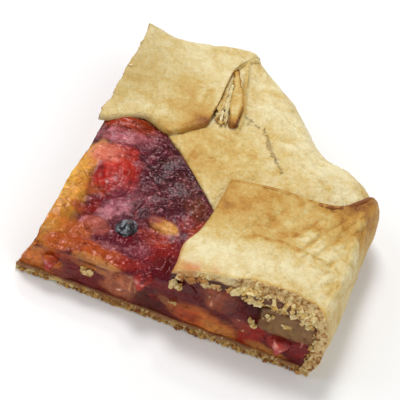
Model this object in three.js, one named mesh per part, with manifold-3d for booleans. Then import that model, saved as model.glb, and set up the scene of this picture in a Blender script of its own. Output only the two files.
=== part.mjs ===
// A quarter of a free-form cranberry apple pie, cut out of the round: one sheet of dough with its rim folded over
// in three flaps, a cranberry jelly filling, and the apple and berries that show on top and at the two cuts.
//
// Millimetres, +Z up. The slice is drawn with the middle of the round pie at (0, 0), the front cut along +X and the
// left cut along +Y. The last group moves it, so that the origin is at the middle of its base.
import * as THREE from "three";
import { mergeVertices } from "three/addons/utils/BufferGeometryUtils.js";
import Module from "manifold-3d";

const wasm = await Module();
wasm.setup();

// ---------------------------------------------------------------- driving dimensions

const BASE_THICKNESS = 3.6; // the dough under the filling
const WALL_THICKNESS = 4.2; // the dough where it stands up
const FOOT_INSET = 3; // how far the wall's foot stands in from its widest line
const WALL_TOP = 13; // height of the wall's widest line
const GAP = 0.35; // kept between two pieces that touch
const PAST_CUT = 3; // everything is made this much too long, then cut
const LEFT_CUT = { atTip: 5.3, lean: 0.05 }; // X of the left cut at the tip, and its growth with Y
const TOE = { length: 9, height: 17.5 }; // the stretch at the tip where the filling sagged out of the left cut
const OVERHEAD = 45; // above all of the slice
const FAR = 160; // beyond all of the slice, in plan
const MIDDLE_OF_BASE = { x: 63.6, y: 66 }; // of the slice's box, from the middle of the round pie

const DOUGH = { color: 0xcdb078, roughness: 0.75 };
const JELLY = { color: 0x5c1418, roughness: 0.2 };
const GOLD_APPLE = { color: 0xbf8c4c, roughness: 0.35 };
const AMBER_APPLE = { color: 0x8f4a2c, roughness: 0.3 };
const RED_APPLE = { color: 0xa63a2d, roughness: 0.25 };
const OLIVE_APPLE = { color: 0x826038, roughness: 0.35 };
const CRANBERRY = { color: 0x70201c, roughness: 0.15 };
const DARK_BERRY = { color: 0x3c3a40, roughness: 0.4 };

// The three flaps, in the order they were folded. outline is the wall's widest line and edge is the flap's free
// edge over the filling, both from the flap's first side to its last. firstSide and lastSide are those sides in
// plan, where they are bowed. Heights, runs, ridges and thicknesses go from the first side to the last.
const MIDDLE_FLAP = {
  outline: [
    [127, 66], [126, 74], [121.5, 82.5], [115, 87], [107.5, 89.8], [98.5, 94], [82.6, 113.8], [66.2, 128.6],
    [57.5, 133], [50, 132],
  ],
  edge: [[74, 27.5, 27], [62.1, 41, 27], [50, 54.9, 26], [40.7, 64.5, 26], [33.4, 71.6, 26], [24, 80.5, 26]],
  shoulderHeight: [27.5, 30],
  shoulderRun: [10, 10],
  ridge: [1.6, 1.6],
  thickness: [4.8, 4.8],
  edgeThickness: 4,
};
const RIGHT_FLAP = {
  outline: [[121.6, -3], [124.3, 16], [126, 45], [127.3, 66], [127.2, 74], [124.3, 80.5]],
  edge: [[57.8, -3, 31], [58.6, 6, 31], [58.4, 15, 30.7], [62, 23.4, 31.2], [64.2, 33.5, 32.3], [66.4, 52.3, 34]],
  lastSide: [[124.3, 80.5], [120.3, 74.3], [116.4, 68.6], [110, 60.5], [101, 57.4], [81, 55.3], [66.4, 52.3]],
  shoulderHeight: [35.5, 31.5],
  shoulderRun: [6.5, 11],
  ridge: [3.6, 2.4],
  thickness: [5.8, 7.5],
  edgeThickness: 3.8,
};
const BACK_FLAP = {
  outline: [[63, 129.6], [57.5, 134.3], [48.5, 133.6], [39, 131.4], [24, 129.4], [10, 131.4], [2, 133.2]],
  edge: [
    [49.6, 86.8, 31.8], [49, 80.2, 31.2], [44.9, 76, 30.4], [35.7, 69.8, 29.4], [24.5, 73.6, 28.6], [11, 66.6, 28],
    [2, 65, 28],
  ],
  firstSide: [[63, 129.6], [56.5, 121], [51.6, 113.3], [50.6, 105.8], [50.4, 95.6], [49.6, 86.8]],
  shoulderHeight: [31.5, 29.5],
  shoulderRun: [9, 10],
  ridge: [1.2, 0.8],
  thickness: [4.8, 4.8],
  edgeThickness: 4.2,
};
const FLAPS = [MIDDLE_FLAP, RIGHT_FLAP, BACK_FLAP];

// The tongue of dough that was pinched up between the middle and the back flap: the line along its middle.
const TONGUE = {
  path: [[53, 119, 29], [54.2, 108, 31.8], [56.6, 97.5, 32.4], [57.7, 90, 32.2], [57.7, 82, 30]],
  halfWidth: [1, 3.6],
  halfHeight: 2.6,
};

// The front cut's top crust: where it crumbled away, how far back and how deep, and the same for the rest of it.
const BREAK = { from: 84, to: 113, fade: 3, back: [2.4, 5.6], deep: [2.4, 5.4], crag: 0.7 };

// The open filling's height at the tip, its rises towards the back and the right, and its droops at the two cuts.
const OPEN_FILLING = { height: 19.4, riseBack: 6.2, riseRight: 5.2, droopFront: 1.6, droopLeft: 2.6, droopRun: 5 };

// Pieces of fruit, in the order they fill their places: centre, [length, width, height], turn about Z in degrees,
// how square (1 is an ellipsoid, less is boxier), how far the long way is bent. What hangs stands out of the cut.
const FRUIT = {
  dark_berry: { at: [35.8, 20.8, 18.8], size: [9.2, 8.8, 9], look: DARK_BERRY },
  apple_bit_gold: { at: [48.4, 25.3, 21.6], size: [13.5, 7.5, 6.5], turn: -16, square: 0.8, look: GOLD_APPLE },
  cranberry_top_pale: { at: [24, 17.2, 18], size: [9.6, 9, 9], turn: 20, look: CRANBERRY },
  cranberry_top_back: { at: [36, 61, 21.6], size: [11, 9.5, 9], turn: 40, look: CRANBERRY },
  apple_slice_gold: { at: [8.4, 29, 15.6], size: [54, 19.5, 13], turn: 88, square: 0.7, bend: -1, look: GOLD_APPLE },
  apple_slice_red: { at: [22.8, 45.5, 20.2], size: [26, 17, 9.2], turn: 95, square: 0.8, look: RED_APPLE },
  apple_strip_back: { at: [20.5, 69.5, 22.8], size: [20, 9, 8], turn: 15, square: 0.8, look: AMBER_APPLE },
  apple_slice_front: { at: [27.5, 4.5, 15.6], size: [27, 11, 7.5], turn: 2, square: 0.6, look: AMBER_APPLE },
  cranberry_drip_left: { at: [12.8, 0.6, 10.2], size: [7, 6, 9], square: 0.9, hangs: true, look: CRANBERRY },
  cranberry_drip_middle: { at: [48.5, 1, 18.4], size: [8.5, 7.4, 9.6], square: 0.9, hangs: true, look: CRANBERRY },
  cranberry_cut_red: { at: [105.6, 1.2, 10], size: [8.5, 7.4, 9.4], square: 0.95, hangs: true, look: CRANBERRY },
  cranberry_cut_right: { at: [113, 2.6, 11.6], size: [8.4, 10, 10], look: CRANBERRY },
  cranberry_cut_streak: { at: [95.3, 2.4, 9.6], size: [10, 9, 9], look: CRANBERRY },
  cranberry_cut_left: { at: [21, 2.2, 8], size: [9.2, 9.6, 7], look: CRANBERRY },
  cranberry_cut_middle: { at: [64.8, 2, 20.8], size: [9, 9.6, 9], look: CRANBERRY },
  apple_chunk_cut_left: { at: [42.2, 5, 10.2], size: [13.4, 14, 12], turn: 4, square: 0.75, look: AMBER_APPLE },
  apple_chunk_cut_middle: { at: [79.2, 6, 22.4], size: [15.6, 16, 15], turn: -4, square: 0.7, look: AMBER_APPLE },
  apple_chunk_cut_right: { at: [106, 6.5, 21.8], size: [22.6, 17, 13.2], square: 0.55, look: OLIVE_APPLE },
  apple_slice_cut_low: { at: [76.6, 4.5, 9.2], size: [29, 14, 10.4], turn: 2, square: 0.65, look: GOLD_APPLE },
  apple_slice_cut_floor: { at: [102, 5, 6], size: [14, 12, 3], square: 0.7, look: AMBER_APPLE },
  apple_slice_tip: { at: [7.2, 4, 9.7], size: [17, 9, 10.4], turn: 8, square: 0.7, look: AMBER_APPLE },
  apple_slice_left_low: { at: [9.4, 40, 6.9], size: [26, 12, 4.8], turn: 92, square: 0.6, look: GOLD_APPLE },
  cranberry_left_near: { at: [7, 21, 6.8], size: [8.6, 9.4, 4.4], look: CRANBERRY },
  cranberry_left_middle: { at: [9.2, 63, 14.6], size: [9, 9.4, 9], look: CRANBERRY },
  apple_chunk_left_far: { at: [12.5, 96, 16], size: [26, 15, 12.5], turn: 90, square: 0.6, look: AMBER_APPLE },
  apple_slice_left_floor: { at: [11.2, 79, 7.4], size: [25, 12, 6], turn: 92, square: 0.6, look: GOLD_APPLE },
  cranberry_left_far: { at: [11.8, 116, 13], size: [9.4, 9, 9], look: CRANBERRY },
};
// Where the jelly shrank back from the front cut under the top crust, in the same terms.
const HOLLOW = { at: [93, -0.6, 25.5], size: [17, 11, 14], square: 0.9 };

// ---------------------------------------------------------------- small maths

const { clamp, lerp, smoothstep } = THREE.MathUtils;

/** A vector from three numbers. */
function point(x, y, z) {
  return new THREE.Vector3(x, y, z);
}

/** A smooth curve through points of two or three numbers. */
function curve(points) {
  return new THREE.CatmullRomCurve3(points.map(([x, y, z = 0]) => point(x, y, z)));
}

/** Low swells of a surface, in millimetres. */
function swell(x, y) {
  const broad = 0.55 * Math.sin(x / 7.3 + 1.1) * Math.sin(y / 8.9 + 0.4);
  const across = 0.35 * Math.sin(x / 4.1 - y / 5.7 + 2);
  const along = 0.3 * Math.sin(x / 13 + y / 6.1);
  return broad + across + along;
}

/** X of the left cut at a distance Y back from the tip. */
function leftCut(y) {
  return LEFT_CUT.atTip + LEFT_CUT.lean * y;
}

/** Height of the filling where no dough covers it. */
function fillingHeight(x, y) {
  const { height, riseBack, riseRight, droopFront, droopLeft, droopRun } = OPEN_FILLING;
  const towardsBack = smoothstep(y, 8, 70);
  const towardsRight = smoothstep(x, 30, 60) * (1 - 0.55 * towardsBack);
  const atFront = 1 - smoothstep(y, 0, droopRun);
  const atLeft = 1 - smoothstep(x - leftCut(y), 0, droopRun);
  const risen = height + riseBack * towardsBack + riseRight * towardsRight;
  return risen - droopFront * atFront - droopLeft * atLeft + 0.5 * swell(1.6 * x, 1.6 * y);
}

/** How far a point lies outside a plan outline, or 0 inside it. */
function distanceOutside(outline, x, y) {
  let inside = false;
  let nearest = Infinity;
  outline.forEach(([ax, ay], i) => {
    const [bx, by] = outline[(i + 1) % outline.length];
    if (ay > y !== by > y && x < ((bx - ax) * (y - ay)) / (by - ay) + ax) inside = !inside;
    const length = (bx - ax) ** 2 + (by - ay) ** 2;
    const share = clamp(((x - ax) * (bx - ax) + (y - ay) * (by - ay)) / length, 0, 1);
    nearest = Math.min(nearest, Math.hypot(x - lerp(ax, bx, share), y - lerp(ay, by, share)));
  });
  return inside ? 0 : nearest;
}

// ---------------------------------------------------------------- solids

/** A closed three.js geometry as a solid with its faces pointing out. */
function solid(geometry) {
  geometry.deleteAttribute("normal");
  geometry.deleteAttribute("uv");
  const merged = mergeVertices(geometry, 1e-4);
  const build = (triVerts) => {
    const vertProperties = new Float32Array(merged.attributes.position.array);
    return new wasm.Manifold(new wasm.Mesh({ numProp: 3, vertProperties, triVerts }));
  };
  const triangles = new Uint32Array(merged.index.array);
  const made = build(triangles);
  return made.volume() > 0 ? made : build(triangles.toReversed());
}

/** A solid as a three.js geometry. */
function geometryOf(made) {
  const mesh = made.getMesh();
  const geometry = new THREE.BufferGeometry();
  geometry.setAttribute("position", new THREE.BufferAttribute(new Float32Array(mesh.vertProperties), 3));
  geometry.setIndex(new THREE.BufferAttribute(new Uint32Array(mesh.triVerts), 1));
  geometry.computeVertexNormals();
  return geometry;
}

/** The largest of the bodies that a cut leaves. */
function largest(made) {
  return made.decompose().sort((a, b) => b.volume() - a.volume())[0];
}

/** A closed solid between two grids of points, over[i][j] and under[i][j], sewn together round their rims. */
function between(over, under) {
  const rows = over.length;
  const columns = over[0].length;
  const corner = (i, j, layer) => (layer * rows + i) * columns + j;
  const index = [];
  const quad = (a, b, c, d) => index.push(a, b, c, a, c, d);
  const last = { row: rows - 1, column: columns - 1 };
  for (let i = 0; i < last.row; i++) {
    for (let j = 0; j < last.column; j++) {
      quad(corner(i, j, 0), corner(i + 1, j, 0), corner(i + 1, j + 1, 0), corner(i, j + 1, 0));
      quad(corner(i, j, 1), corner(i, j + 1, 1), corner(i + 1, j + 1, 1), corner(i + 1, j, 1));
    }
    quad(corner(i, 0, 0), corner(i, 0, 1), corner(i + 1, 0, 1), corner(i + 1, 0, 0));
    const [near, far] = [corner(i, last.column, 0), corner(i + 1, last.column, 0)];
    quad(near, far, corner(i + 1, last.column, 1), corner(i, last.column, 1));
  }
  for (let j = 0; j < last.column; j++) {
    quad(corner(0, j, 0), corner(0, j + 1, 0), corner(0, j + 1, 1), corner(0, j, 1));
    const [near, far] = [corner(last.row, j, 0), corner(last.row, j, 1)];
    quad(near, far, corner(last.row, j + 1, 1), corner(last.row, j + 1, 0));
  }
  const positions = [...over.flat(), ...under.flat()].flatMap((p) => [p.x, p.y, p.z]);
  const geometry = new THREE.BufferGeometry();
  geometry.setAttribute("position", new THREE.BufferAttribute(new Float32Array(positions), 3));
  geometry.setIndex(index);
  return solid(geometry);
}

/** A closed prism of a plan outline between two heights. */
function prism(outline, low, high) {
  const shape = new THREE.Shape(outline.map(([x, y]) => new THREE.Vector2(x, y)));
  const geometry = new THREE.ExtrudeGeometry(shape, { depth: high - low, bevelEnabled: false });
  geometry.translate(0, 0, low);
  return solid(geometry);
}

// ---------------------------------------------------------------- dough

const WIDEST = 0.2; // share of the way up a flap at which the wall is widest
const SHOULDER = 0.5; // share of the way up at which the shoulder has turned level

/** Moves a point of a flap in plan, by the bow of one of its sides away from a straight line. */
function bow(onFlap, side, share, pull) {
  if (!side) return;
  const line = curve(side);
  const straight = line.getPointAt(0).lerp(line.getPointAt(1), share);
  onFlap.addScaledVector(line.getPointAt(clamp(share, 0, 1)).sub(straight), pull);
}

/**
 * One folded flap. along runs 0 to 1 round the wall. up runs 0 to 1 from the wall's foot, out to its widest line,
 * over the shoulder and across the top to the free edge. deep is how far inside the dough's outside the point is.
 */
function foldedSheet(flap) {
  const outline = curve(flap.outline);
  const edge = curve(flap.edge);
  const SIDE_FADE = 4;
  return (along, up, deep = 0) => {
    const wall = outline.getPointAt(clamp(along, 0, 1));
    const free = edge.getPointAt(clamp(along, 0, 1));
    const reach = Math.hypot(free.x - wall.x, free.y - wall.y);
    const run = lerp(...flap.shoulderRun, along);
    const height = lerp(...flap.shoulderHeight, along);
    const turn = (clamp((up - WIDEST) / (SHOULDER - WIDEST), 0, 1) * Math.PI) / 2;
    let inward;
    let z;
    if (up < WIDEST) {
      const rise = up / WIDEST;
      inward = FOOT_INSET * (1 - Math.sin((rise * Math.PI) / 2));
      z = WALL_TOP * rise;
    } else if (up < SHOULDER) {
      inward = run * (1 - Math.cos(turn));
      z = lerp(WALL_TOP, height, Math.sin(turn));
    } else {
      const over = (up - SHOULDER) / (1 - SHOULDER);
      inward = lerp(run, reach, over);
      z = lerp(height, free.z, over) + 4 * lerp(...flap.ridge, along) * over * (1 - over);
    }
    const share = (inward + deep * Math.cos(turn)) / reach;
    const onFlap = point(lerp(wall.x, free.x, share), lerp(wall.y, free.y, share), z - deep * Math.sin(turn));
    bow(onFlap, flap.firstSide, share, (1 - along) ** SIDE_FADE);
    bow(onFlap, flap.lastSide, share, along ** SIDE_FADE);
    onFlap.z += swell(onFlap.x, onFlap.y) * smoothstep(z, WALL_TOP, WALL_TOP + 12);
    return onFlap;
  };
}

/** The dough's thickness at a place on a flap: thin in the wall, thicker on top, thin at the free edge. */
function thicknessAt(flap, along, up) {
  const onTop = lerp(WALL_THICKNESS, lerp(...flap.thickness, along), smoothstep(up, WIDEST, 0.65));
  return lerp(onTop, flap.edgeThickness, smoothstep(up, 0.75, 1));
}

/** Moves the points of a rim away from the points next to them. */
function pushOut(rim, next, distance) {
  rim.forEach((p, i) => p.addScaledVector(p.clone().sub(next[i]).normalize(), distance));
}

/** A flap's dough, with its free edge rounded. grow makes it that much larger all round. */
function doughSheet(flap, rows, columns, grow) {
  const LIP = 0.28; // share of the thickness that the rounding takes off each side
  const surface = foldedSheet(flap);
  const over = [];
  const under = [];
  for (let i = 0; i <= rows; i++) {
    const along = i / rows;
    over.push([]);
    under.push([]);
    for (let j = 0; j <= columns; j++) {
      const up = j / columns;
      const thickness = thicknessAt(flap, along, up);
      const rounded = j === columns ? LIP * thickness : 0;
      over[i].push(surface(along, up, rounded - grow));
      under[i].push(surface(along, up, thickness - rounded + grow));
    }
  }
  for (const grid of [over, under]) {
    pushOut(grid[0], grid[1], grow);
    pushOut(grid[rows], grid[rows - 1], grow);
    pushOut(grid.map((row) => row[columns]), grid.map((row) => row[columns - 1]), grow);
  }
  return between(over, under);
}

/** The pinched tongue, an oval tube that swells towards its free end. */
function tongue(grow) {
  const RINGS = 8;
  const SIDES = 6;
  const FULLEST = 0.62; // share of the way along
  const DEEPER = 1.4; // how much further it reaches down than up
  const path = curve(TONGUE.path);
  const over = [];
  const under = [];
  for (let i = 0; i <= RINGS; i++) {
    const along = i / RINGS;
    const centre = path.getPointAt(along);
    const heading = path.getTangentAt(along);
    const aside = point(heading.y, -heading.x, 0).normalize();
    const full = Math.sqrt(Math.max(0.02, 1 - ((along - FULLEST) / (FULLEST + 0.01)) ** 2));
    const halfWidth = lerp(...TONGUE.halfWidth, along) * full + grow;
    const halfHeight = TONGUE.halfHeight * full + grow;
    const ring = Array.from({ length: SIDES + 1 }, (_, j) => (j / SIDES) * Math.PI);
    const section = (drop) =>
      ring.map((turn) => {
        const across = centre.clone().addScaledVector(aside, -halfWidth * Math.cos(turn));
        return across.setZ(centre.z + drop * halfHeight * Math.sin(turn));
      });
    over.push(section(1));
    under.push(section(-DEEPER));
  }
  return between(over, under);
}

/** Points round the slice's wall, inset from its widest line, from the front cut to the left cut. */
function wallPlan(inset) {
  const STEPS = 8;
  const legs = [
    { outline: RIGHT_FLAP.outline, from: 0, to: 0.98 },
    { outline: MIDDLE_FLAP.outline, from: 0.16, to: 0.9 },
    { outline: BACK_FLAP.outline, from: 0.09, to: 1 },
  ];
  return legs.flatMap(({ outline, from, to }) => {
    const line = curve(outline);
    return Array.from({ length: STEPS + 1 }, (_, i) => {
      const along = lerp(from, to, i / STEPS);
      const at = line.getPointAt(along);
      const heading = line.getTangentAt(along);
      return [at.x - heading.y * inset, at.y + heading.x * inset];
    });
  });
}

/** The dough under the filling, out to the wall's foot and to the toe. */
function baseSheet(grow) {
  const plan = [[-0.2, -PAST_CUT], ...wallPlan(FOOT_INSET), [1, 60], [0, TOE.length]];
  return prism(plan, 0, BASE_THICKNESS + grow);
}

/** All of the dough, before it is cut. */
function wholeDough(grow) {
  return wasm.Manifold.union([
    baseSheet(grow),
    doughSheet(MIDDLE_FLAP, 14, 16, grow),
    doughSheet(RIGHT_FLAP, 14, 18, grow),
    doughSheet(BACK_FLAP, 12, 16, grow),
    tongue(grow),
  ]);
}

// ---------------------------------------------------------------- cuts

/** What sagged out of the left cut at the tip: a wedge that is widest at the front and at the bottom. */
function toe() {
  const heights = [-1, BASE_THICKNESS, TOE.height];
  const outerX = [0, 0, LEFT_CUT.atTip];
  const SHARES = [0, 0.5, 1];
  const innerX = LEFT_CUT.atTip + 1;
  const over = SHARES.map((share) =>
    heights.map((z, k) => point(lerp(outerX[k], LEFT_CUT.atTip, share ** 1.4), TOE.length * share, z)),
  );
  const under = SHARES.map((share) => heights.map((z) => point(innerX, TOE.length * share, z)));
  return between(over, under);
}

/** All that the two cuts leave: what is behind the front cut and to the right of the left cut, and the toe. */
function keptByCuts() {
  const outline = [[leftCut(0), 0], [FAR, 0], [FAR, FAR], [leftCut(FAR), FAR]];
  return prism(outline, -1, OVERHEAD + 5).add(toe());
}

/** Height of the right flap at the front cut, for an X between its widest line and its free edge. */
function topAtCut(x) {
  const STEPS = 60;
  const surface = foldedSheet(RIGHT_FLAP);
  const points = Array.from({ length: STEPS + 1 }, (_, k) => surface(0, lerp(WIDEST, 1, k / STEPS)));
  return points.reduce((best, p) => (Math.abs(p.x - x) < Math.abs(best.x - x) ? p : best)).z;
}

/** What is missing of the top crust at the front cut: a craggy wedge that slopes down towards the cut. */
function brokenEdge() {
  const STEP = 2.2;
  const over = [];
  const under = [];
  for (let x = RIGHT_FLAP.edge[0][0] - 1; x < RIGHT_FLAP.outline[0][0] + 1; x += STEP) {
    const begun = smoothstep(x, BREAK.from - BREAK.fade, BREAK.from + BREAK.fade);
    const ended = smoothstep(x, BREAK.to - BREAK.fade, BREAK.to + BREAK.fade);
    const crumbled = begun * (1 - ended);
    const crag = BREAK.crag * crumbled * (Math.sin(x * 1.7) + 0.7 * Math.sin(x * 3.1 + 1));
    const back = lerp(...BREAK.back, crumbled) + crag;
    const top = topAtCut(x);
    const low = top - lerp(...BREAK.deep, crumbled) + 0.4 * crag;
    const depths = [-PAST_CUT - 1, 0, back / 2, back];
    const heights = [low, low, lerp(low, top, 0.45), top + 1];
    over.push(depths.map((y) => point(x, y, OVERHEAD + 6)));
    under.push(depths.map((y, k) => point(x, y, heights[k])));
  }
  return between(over, under);
}

// ---------------------------------------------------------------- filling and fruit

/** The air over one flap, from inside its dough upwards. */
function airOver(flap) {
  const STEPS = 6;
  const FIRST_UP = 0.24;
  const surface = foldedSheet(flap);
  const over = [];
  const under = [];
  for (let i = 0; i <= STEPS; i++) {
    const row = Array.from({ length: STEPS + 1 }, (_, j) => surface(i / STEPS, lerp(FIRST_UP, 1, j / STEPS)));
    over.push(row.map((p) => point(p.x, p.y, OVERHEAD)));
    under.push(row.map((p) => point(p.x, p.y, p.z - flap.edgeThickness / 2)));
  }
  return between(over, under);
}

/** The plan of the open filling, inside the three flaps' free edges. */
function openPlan() {
  const STEPS = 12;
  const edgeWhere = ({ edge }, shows) => {
    const line = curve(edge);
    const points = Array.from({ length: STEPS + 1 }, (_, i) => line.getPointAt(i / STEPS));
    return points.map((p) => [p.x, p.y]).filter(shows);
  };
  return [
    [-5, -5],
    [RIGHT_FLAP.edge[0][0], -5],
    ...edgeWhere(RIGHT_FLAP, ([, y]) => y < 40),
    ...edgeWhere(MIDDLE_FLAP, ([x]) => x > 33 && x < 63),
    ...edgeWhere(BACK_FLAP, ([x]) => x < 33),
    [-5, BACK_FLAP.edge.at(-1)[1]],
  ];
}

/** The filling before the dough and the fruit are taken out of it: low in the open, and full height under flaps. */
function fillingBlock() {
  const STEP = 5.5;
  const UNDER_FLAP = 6; // how far behind a flap's free edge the full height starts
  const open = openPlan();
  const over = [];
  const under = [];
  for (let x = -1.5; x < 127; x += STEP) {
    const row = [];
    for (let y = -PAST_CUT; y < 134; y += STEP) {
      const covered = distanceOutside(open, x, y) > UNDER_FLAP;
      row.push(point(x, y, covered ? OVERHEAD - 5 : fillingHeight(x, y)));
    }
    over.push(row);
    under.push(row.map((p) => point(p.x, p.y, -5)));
  }
  const insideWall = prism([[-1, -PAST_CUT], ...wallPlan(WALL_THICKNESS / 2), [-1, 120]], 0, OVERHEAD);
  return between(over, under).intersect(insideWall);
}

/** One piece of fruit: an ellipsoid drawn towards a box, bent along its length and a little lumpy. */
function fruit({ at, size, turn = 0, square = 1, bend = 0 }, grow = 0) {
  const LARGE = 12; // a longer piece gets more sides
  const sides = Math.max(...size) > LARGE ? 10 : 8;
  const power = (value) => Math.sign(value) * Math.abs(value) ** square;
  const [halfLength, halfWidth, halfHeight] = size.map((full) => full / 2 + grow);
  const geometry = new THREE.SphereGeometry(1, sides, 6);
  const position = geometry.attributes.position;
  for (let i = 0; i < position.count; i++) {
    const unit = new THREE.Vector3().fromBufferAttribute(position, i);
    const radius = Math.hypot(unit.x, unit.z) || 1;
    const x = power(radius) * power(unit.x / radius);
    const y = -power(radius) * power(unit.z / radius);
    const z = power(unit.y);
    const lump = 1 + 0.05 * Math.sin(3 * x + 2 * y + at[0]) + 0.04 * Math.sin(4 * z + 3 * y + at[1]);
    position.setXYZ(i, x * halfLength * lump, y * halfWidth * lump + bend * (1 - 2 * x * x), z * halfHeight * lump);
  }
  geometry.rotateZ(THREE.MathUtils.degToRad(turn));
  geometry.translate(...at);
  return solid(geometry);
}

// ---------------------------------------------------------------- the slice

const slice = new THREE.Group();
slice.position.set(-MIDDLE_OF_BASE.x, -MIDDLE_OF_BASE.y, 0);

function addPiece(name, made, { color, roughness }) {
  const material = new THREE.MeshStandardMaterial({ color, roughness, metalness: 0, flatShading: true });
  const mesh = new THREE.Mesh(geometryOf(made), material);
  mesh.name = name;
  slice.add(mesh);
}

const kept = keptByCuts();
const roomForDough = wholeDough(GAP);
let filling = fillingBlock().intersect(kept).subtract(roomForDough).subtract(fruit(HOLLOW));
for (const flap of FLAPS) filling = filling.subtract(airOver(flap));

addPiece("crust", largest(wholeDough(0).intersect(kept).subtract(brokenEdge())), DOUGH);
let taken = roomForDough;
for (const [name, piece] of Object.entries(FRUIT)) {
  const whole = piece.hangs ? fruit(piece) : fruit(piece).intersect(kept);
  addPiece(name, largest(whole.subtract(taken)), piece.look);
  const roomForPiece = fruit(piece, GAP);
  taken = taken.add(roomForPiece);
  filling = filling.subtract(roomForPiece);
}
addPiece("filling", largest(filling), JELLY);

const pie = new THREE.Group();
pie.add(slice);
export default pie;
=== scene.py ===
"""The looks of a quarter of a cranberry apple pie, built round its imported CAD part.

Shapes are worked out in millimetres in the slice's own frame: the middle of the round pie at (0, 0), the
front cut along +X, the left cut along +Y, +Z up. add_piece() moves them to the part's frame, in metres.
"""
import math

import bpy
import numpy as np
from mathutils import Matrix


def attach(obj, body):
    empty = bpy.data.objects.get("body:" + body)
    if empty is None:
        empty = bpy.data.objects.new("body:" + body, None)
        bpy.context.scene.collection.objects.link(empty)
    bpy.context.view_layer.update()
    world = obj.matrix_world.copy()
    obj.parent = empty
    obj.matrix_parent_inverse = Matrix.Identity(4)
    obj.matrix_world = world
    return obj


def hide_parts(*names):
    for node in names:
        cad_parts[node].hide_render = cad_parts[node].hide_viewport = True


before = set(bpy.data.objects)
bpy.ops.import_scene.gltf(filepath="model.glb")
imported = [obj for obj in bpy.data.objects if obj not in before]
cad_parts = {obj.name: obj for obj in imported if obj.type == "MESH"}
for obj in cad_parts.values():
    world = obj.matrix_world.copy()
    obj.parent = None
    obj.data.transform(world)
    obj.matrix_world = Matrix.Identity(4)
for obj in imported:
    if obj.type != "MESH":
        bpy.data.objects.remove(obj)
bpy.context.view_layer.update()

# ---------------------------------------------------------------- sizes, in millimetres

PLACE = np.array([-63.6, -66.0, 0.0])
BASE_THICKNESS = 3.6
WALL_THICKNESS = 4.2
FOOT_INSET = 3.0
WALL_TOP = 13.0
LEFT_CUT_AT_TIP = 5.3
LEFT_CUT_LEAN = 0.05
TOE_LENGTH = 9.0
TOE_HEIGHT = 17.5
ABOVE_TABLE = 0.02
FINE = 1.0  # share of the full number of grid lines

# ---------------------------------------------------------------- small maths


def lerp(a, b, t):
    return a + (b - a) * t


def smooth(x, low, high):
    """0 below low, 1 above high, and the cubic 3t^2 - 2t^3 between them."""
    t = np.clip((np.asarray(x, float) - low) / (high - low), 0, 1)
    return t * t * (3 - 2 * t)


def bump(x, middle, half_width):
    """1 at the middle, falling as a cubic to 0 at half_width from it."""
    return 1 - smooth(np.abs(np.asarray(x, float) - middle), 0, half_width)


def cos_sin(degrees):
    return math.cos(math.radians(degrees)), math.sin(math.radians(degrees))


def linear(colour):
    """The linear values of a colour written as #rrggbb."""
    srgb = np.array([int(colour[i:i + 2], 16) / 255 for i in (1, 3, 5)])
    return np.where(srgb <= 0.04045, srgb / 12.92, ((srgb + 0.055) / 1.055) ** 2.4)


LATTICE_SIDE = 48
LATTICE = np.random.default_rng(20).random((LATTICE_SIDE,) * 3).astype(np.float32)


def noise(points, size, seed=0):
    """Smooth noise from -1 to 1: random values on a grid of that size in mm, joined by quintic curves."""
    q = np.asarray(points, float) / size + np.array([17.3, 5.9, 11.7]) * (seed + 1)
    cell = np.floor(q).astype(int)
    f = q - cell
    f = f * f * f * (f * (f * 6 - 15) + 10)
    total = 0
    for corner in np.ndindex(2, 2, 2):
        index = (cell + corner) % LATTICE_SIDE
        weight = np.prod(np.where(np.array(corner) == 1, f, 1 - f), axis=-1)
        total = total + weight * LATTICE[index[..., 0], index[..., 1], index[..., 2]]
    return total * 2 - 1


def layers(points, size, count, seed=0, fade=0.5):
    """A sum of noises, each half the size of the one before and fade times as strong."""
    total, strength, norm = 0, 1.0, 0
    for k in range(count):
        total = total + strength * noise(points, size / 2 ** k, seed + 3 * k)
        norm += strength
        strength *= fade
    return total / norm


def ridges(points, size, count, seed=0):
    """Sharp-crested noise from 0 to 1: one less the size of each layer's noise."""
    total, strength, norm = 0, 1.0, 0
    for k in range(count):
        total = total + strength * (1 - np.abs(noise(points, size / 1.9 ** k, seed + 5 * k))) ** 2
        norm += strength
        strength *= 0.55
    return total / norm


def unit(vectors):
    return vectors / (np.linalg.norm(vectors, axis=-1, keepdims=True) + 1e-12)


def scattered(points, size, *seeds):
    """A noise for each axis, with 0 for a seed of None."""
    zero = np.zeros(points.shape[:-1])
    return np.stack([zero if seed is None else noise(points, size, seed) for seed in seeds], -1)


def turned(points, degrees, stretch):
    """Points in axes turned about Z, the first of them shortened, so that noise on them is streaky."""
    c, s = cos_sin(degrees)
    x = (points[..., 0] * c + points[..., 1] * s) / stretch
    y = -points[..., 0] * s + points[..., 1] * c
    return np.stack([x, y, points[..., 2] * 0.7], -1)


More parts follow.
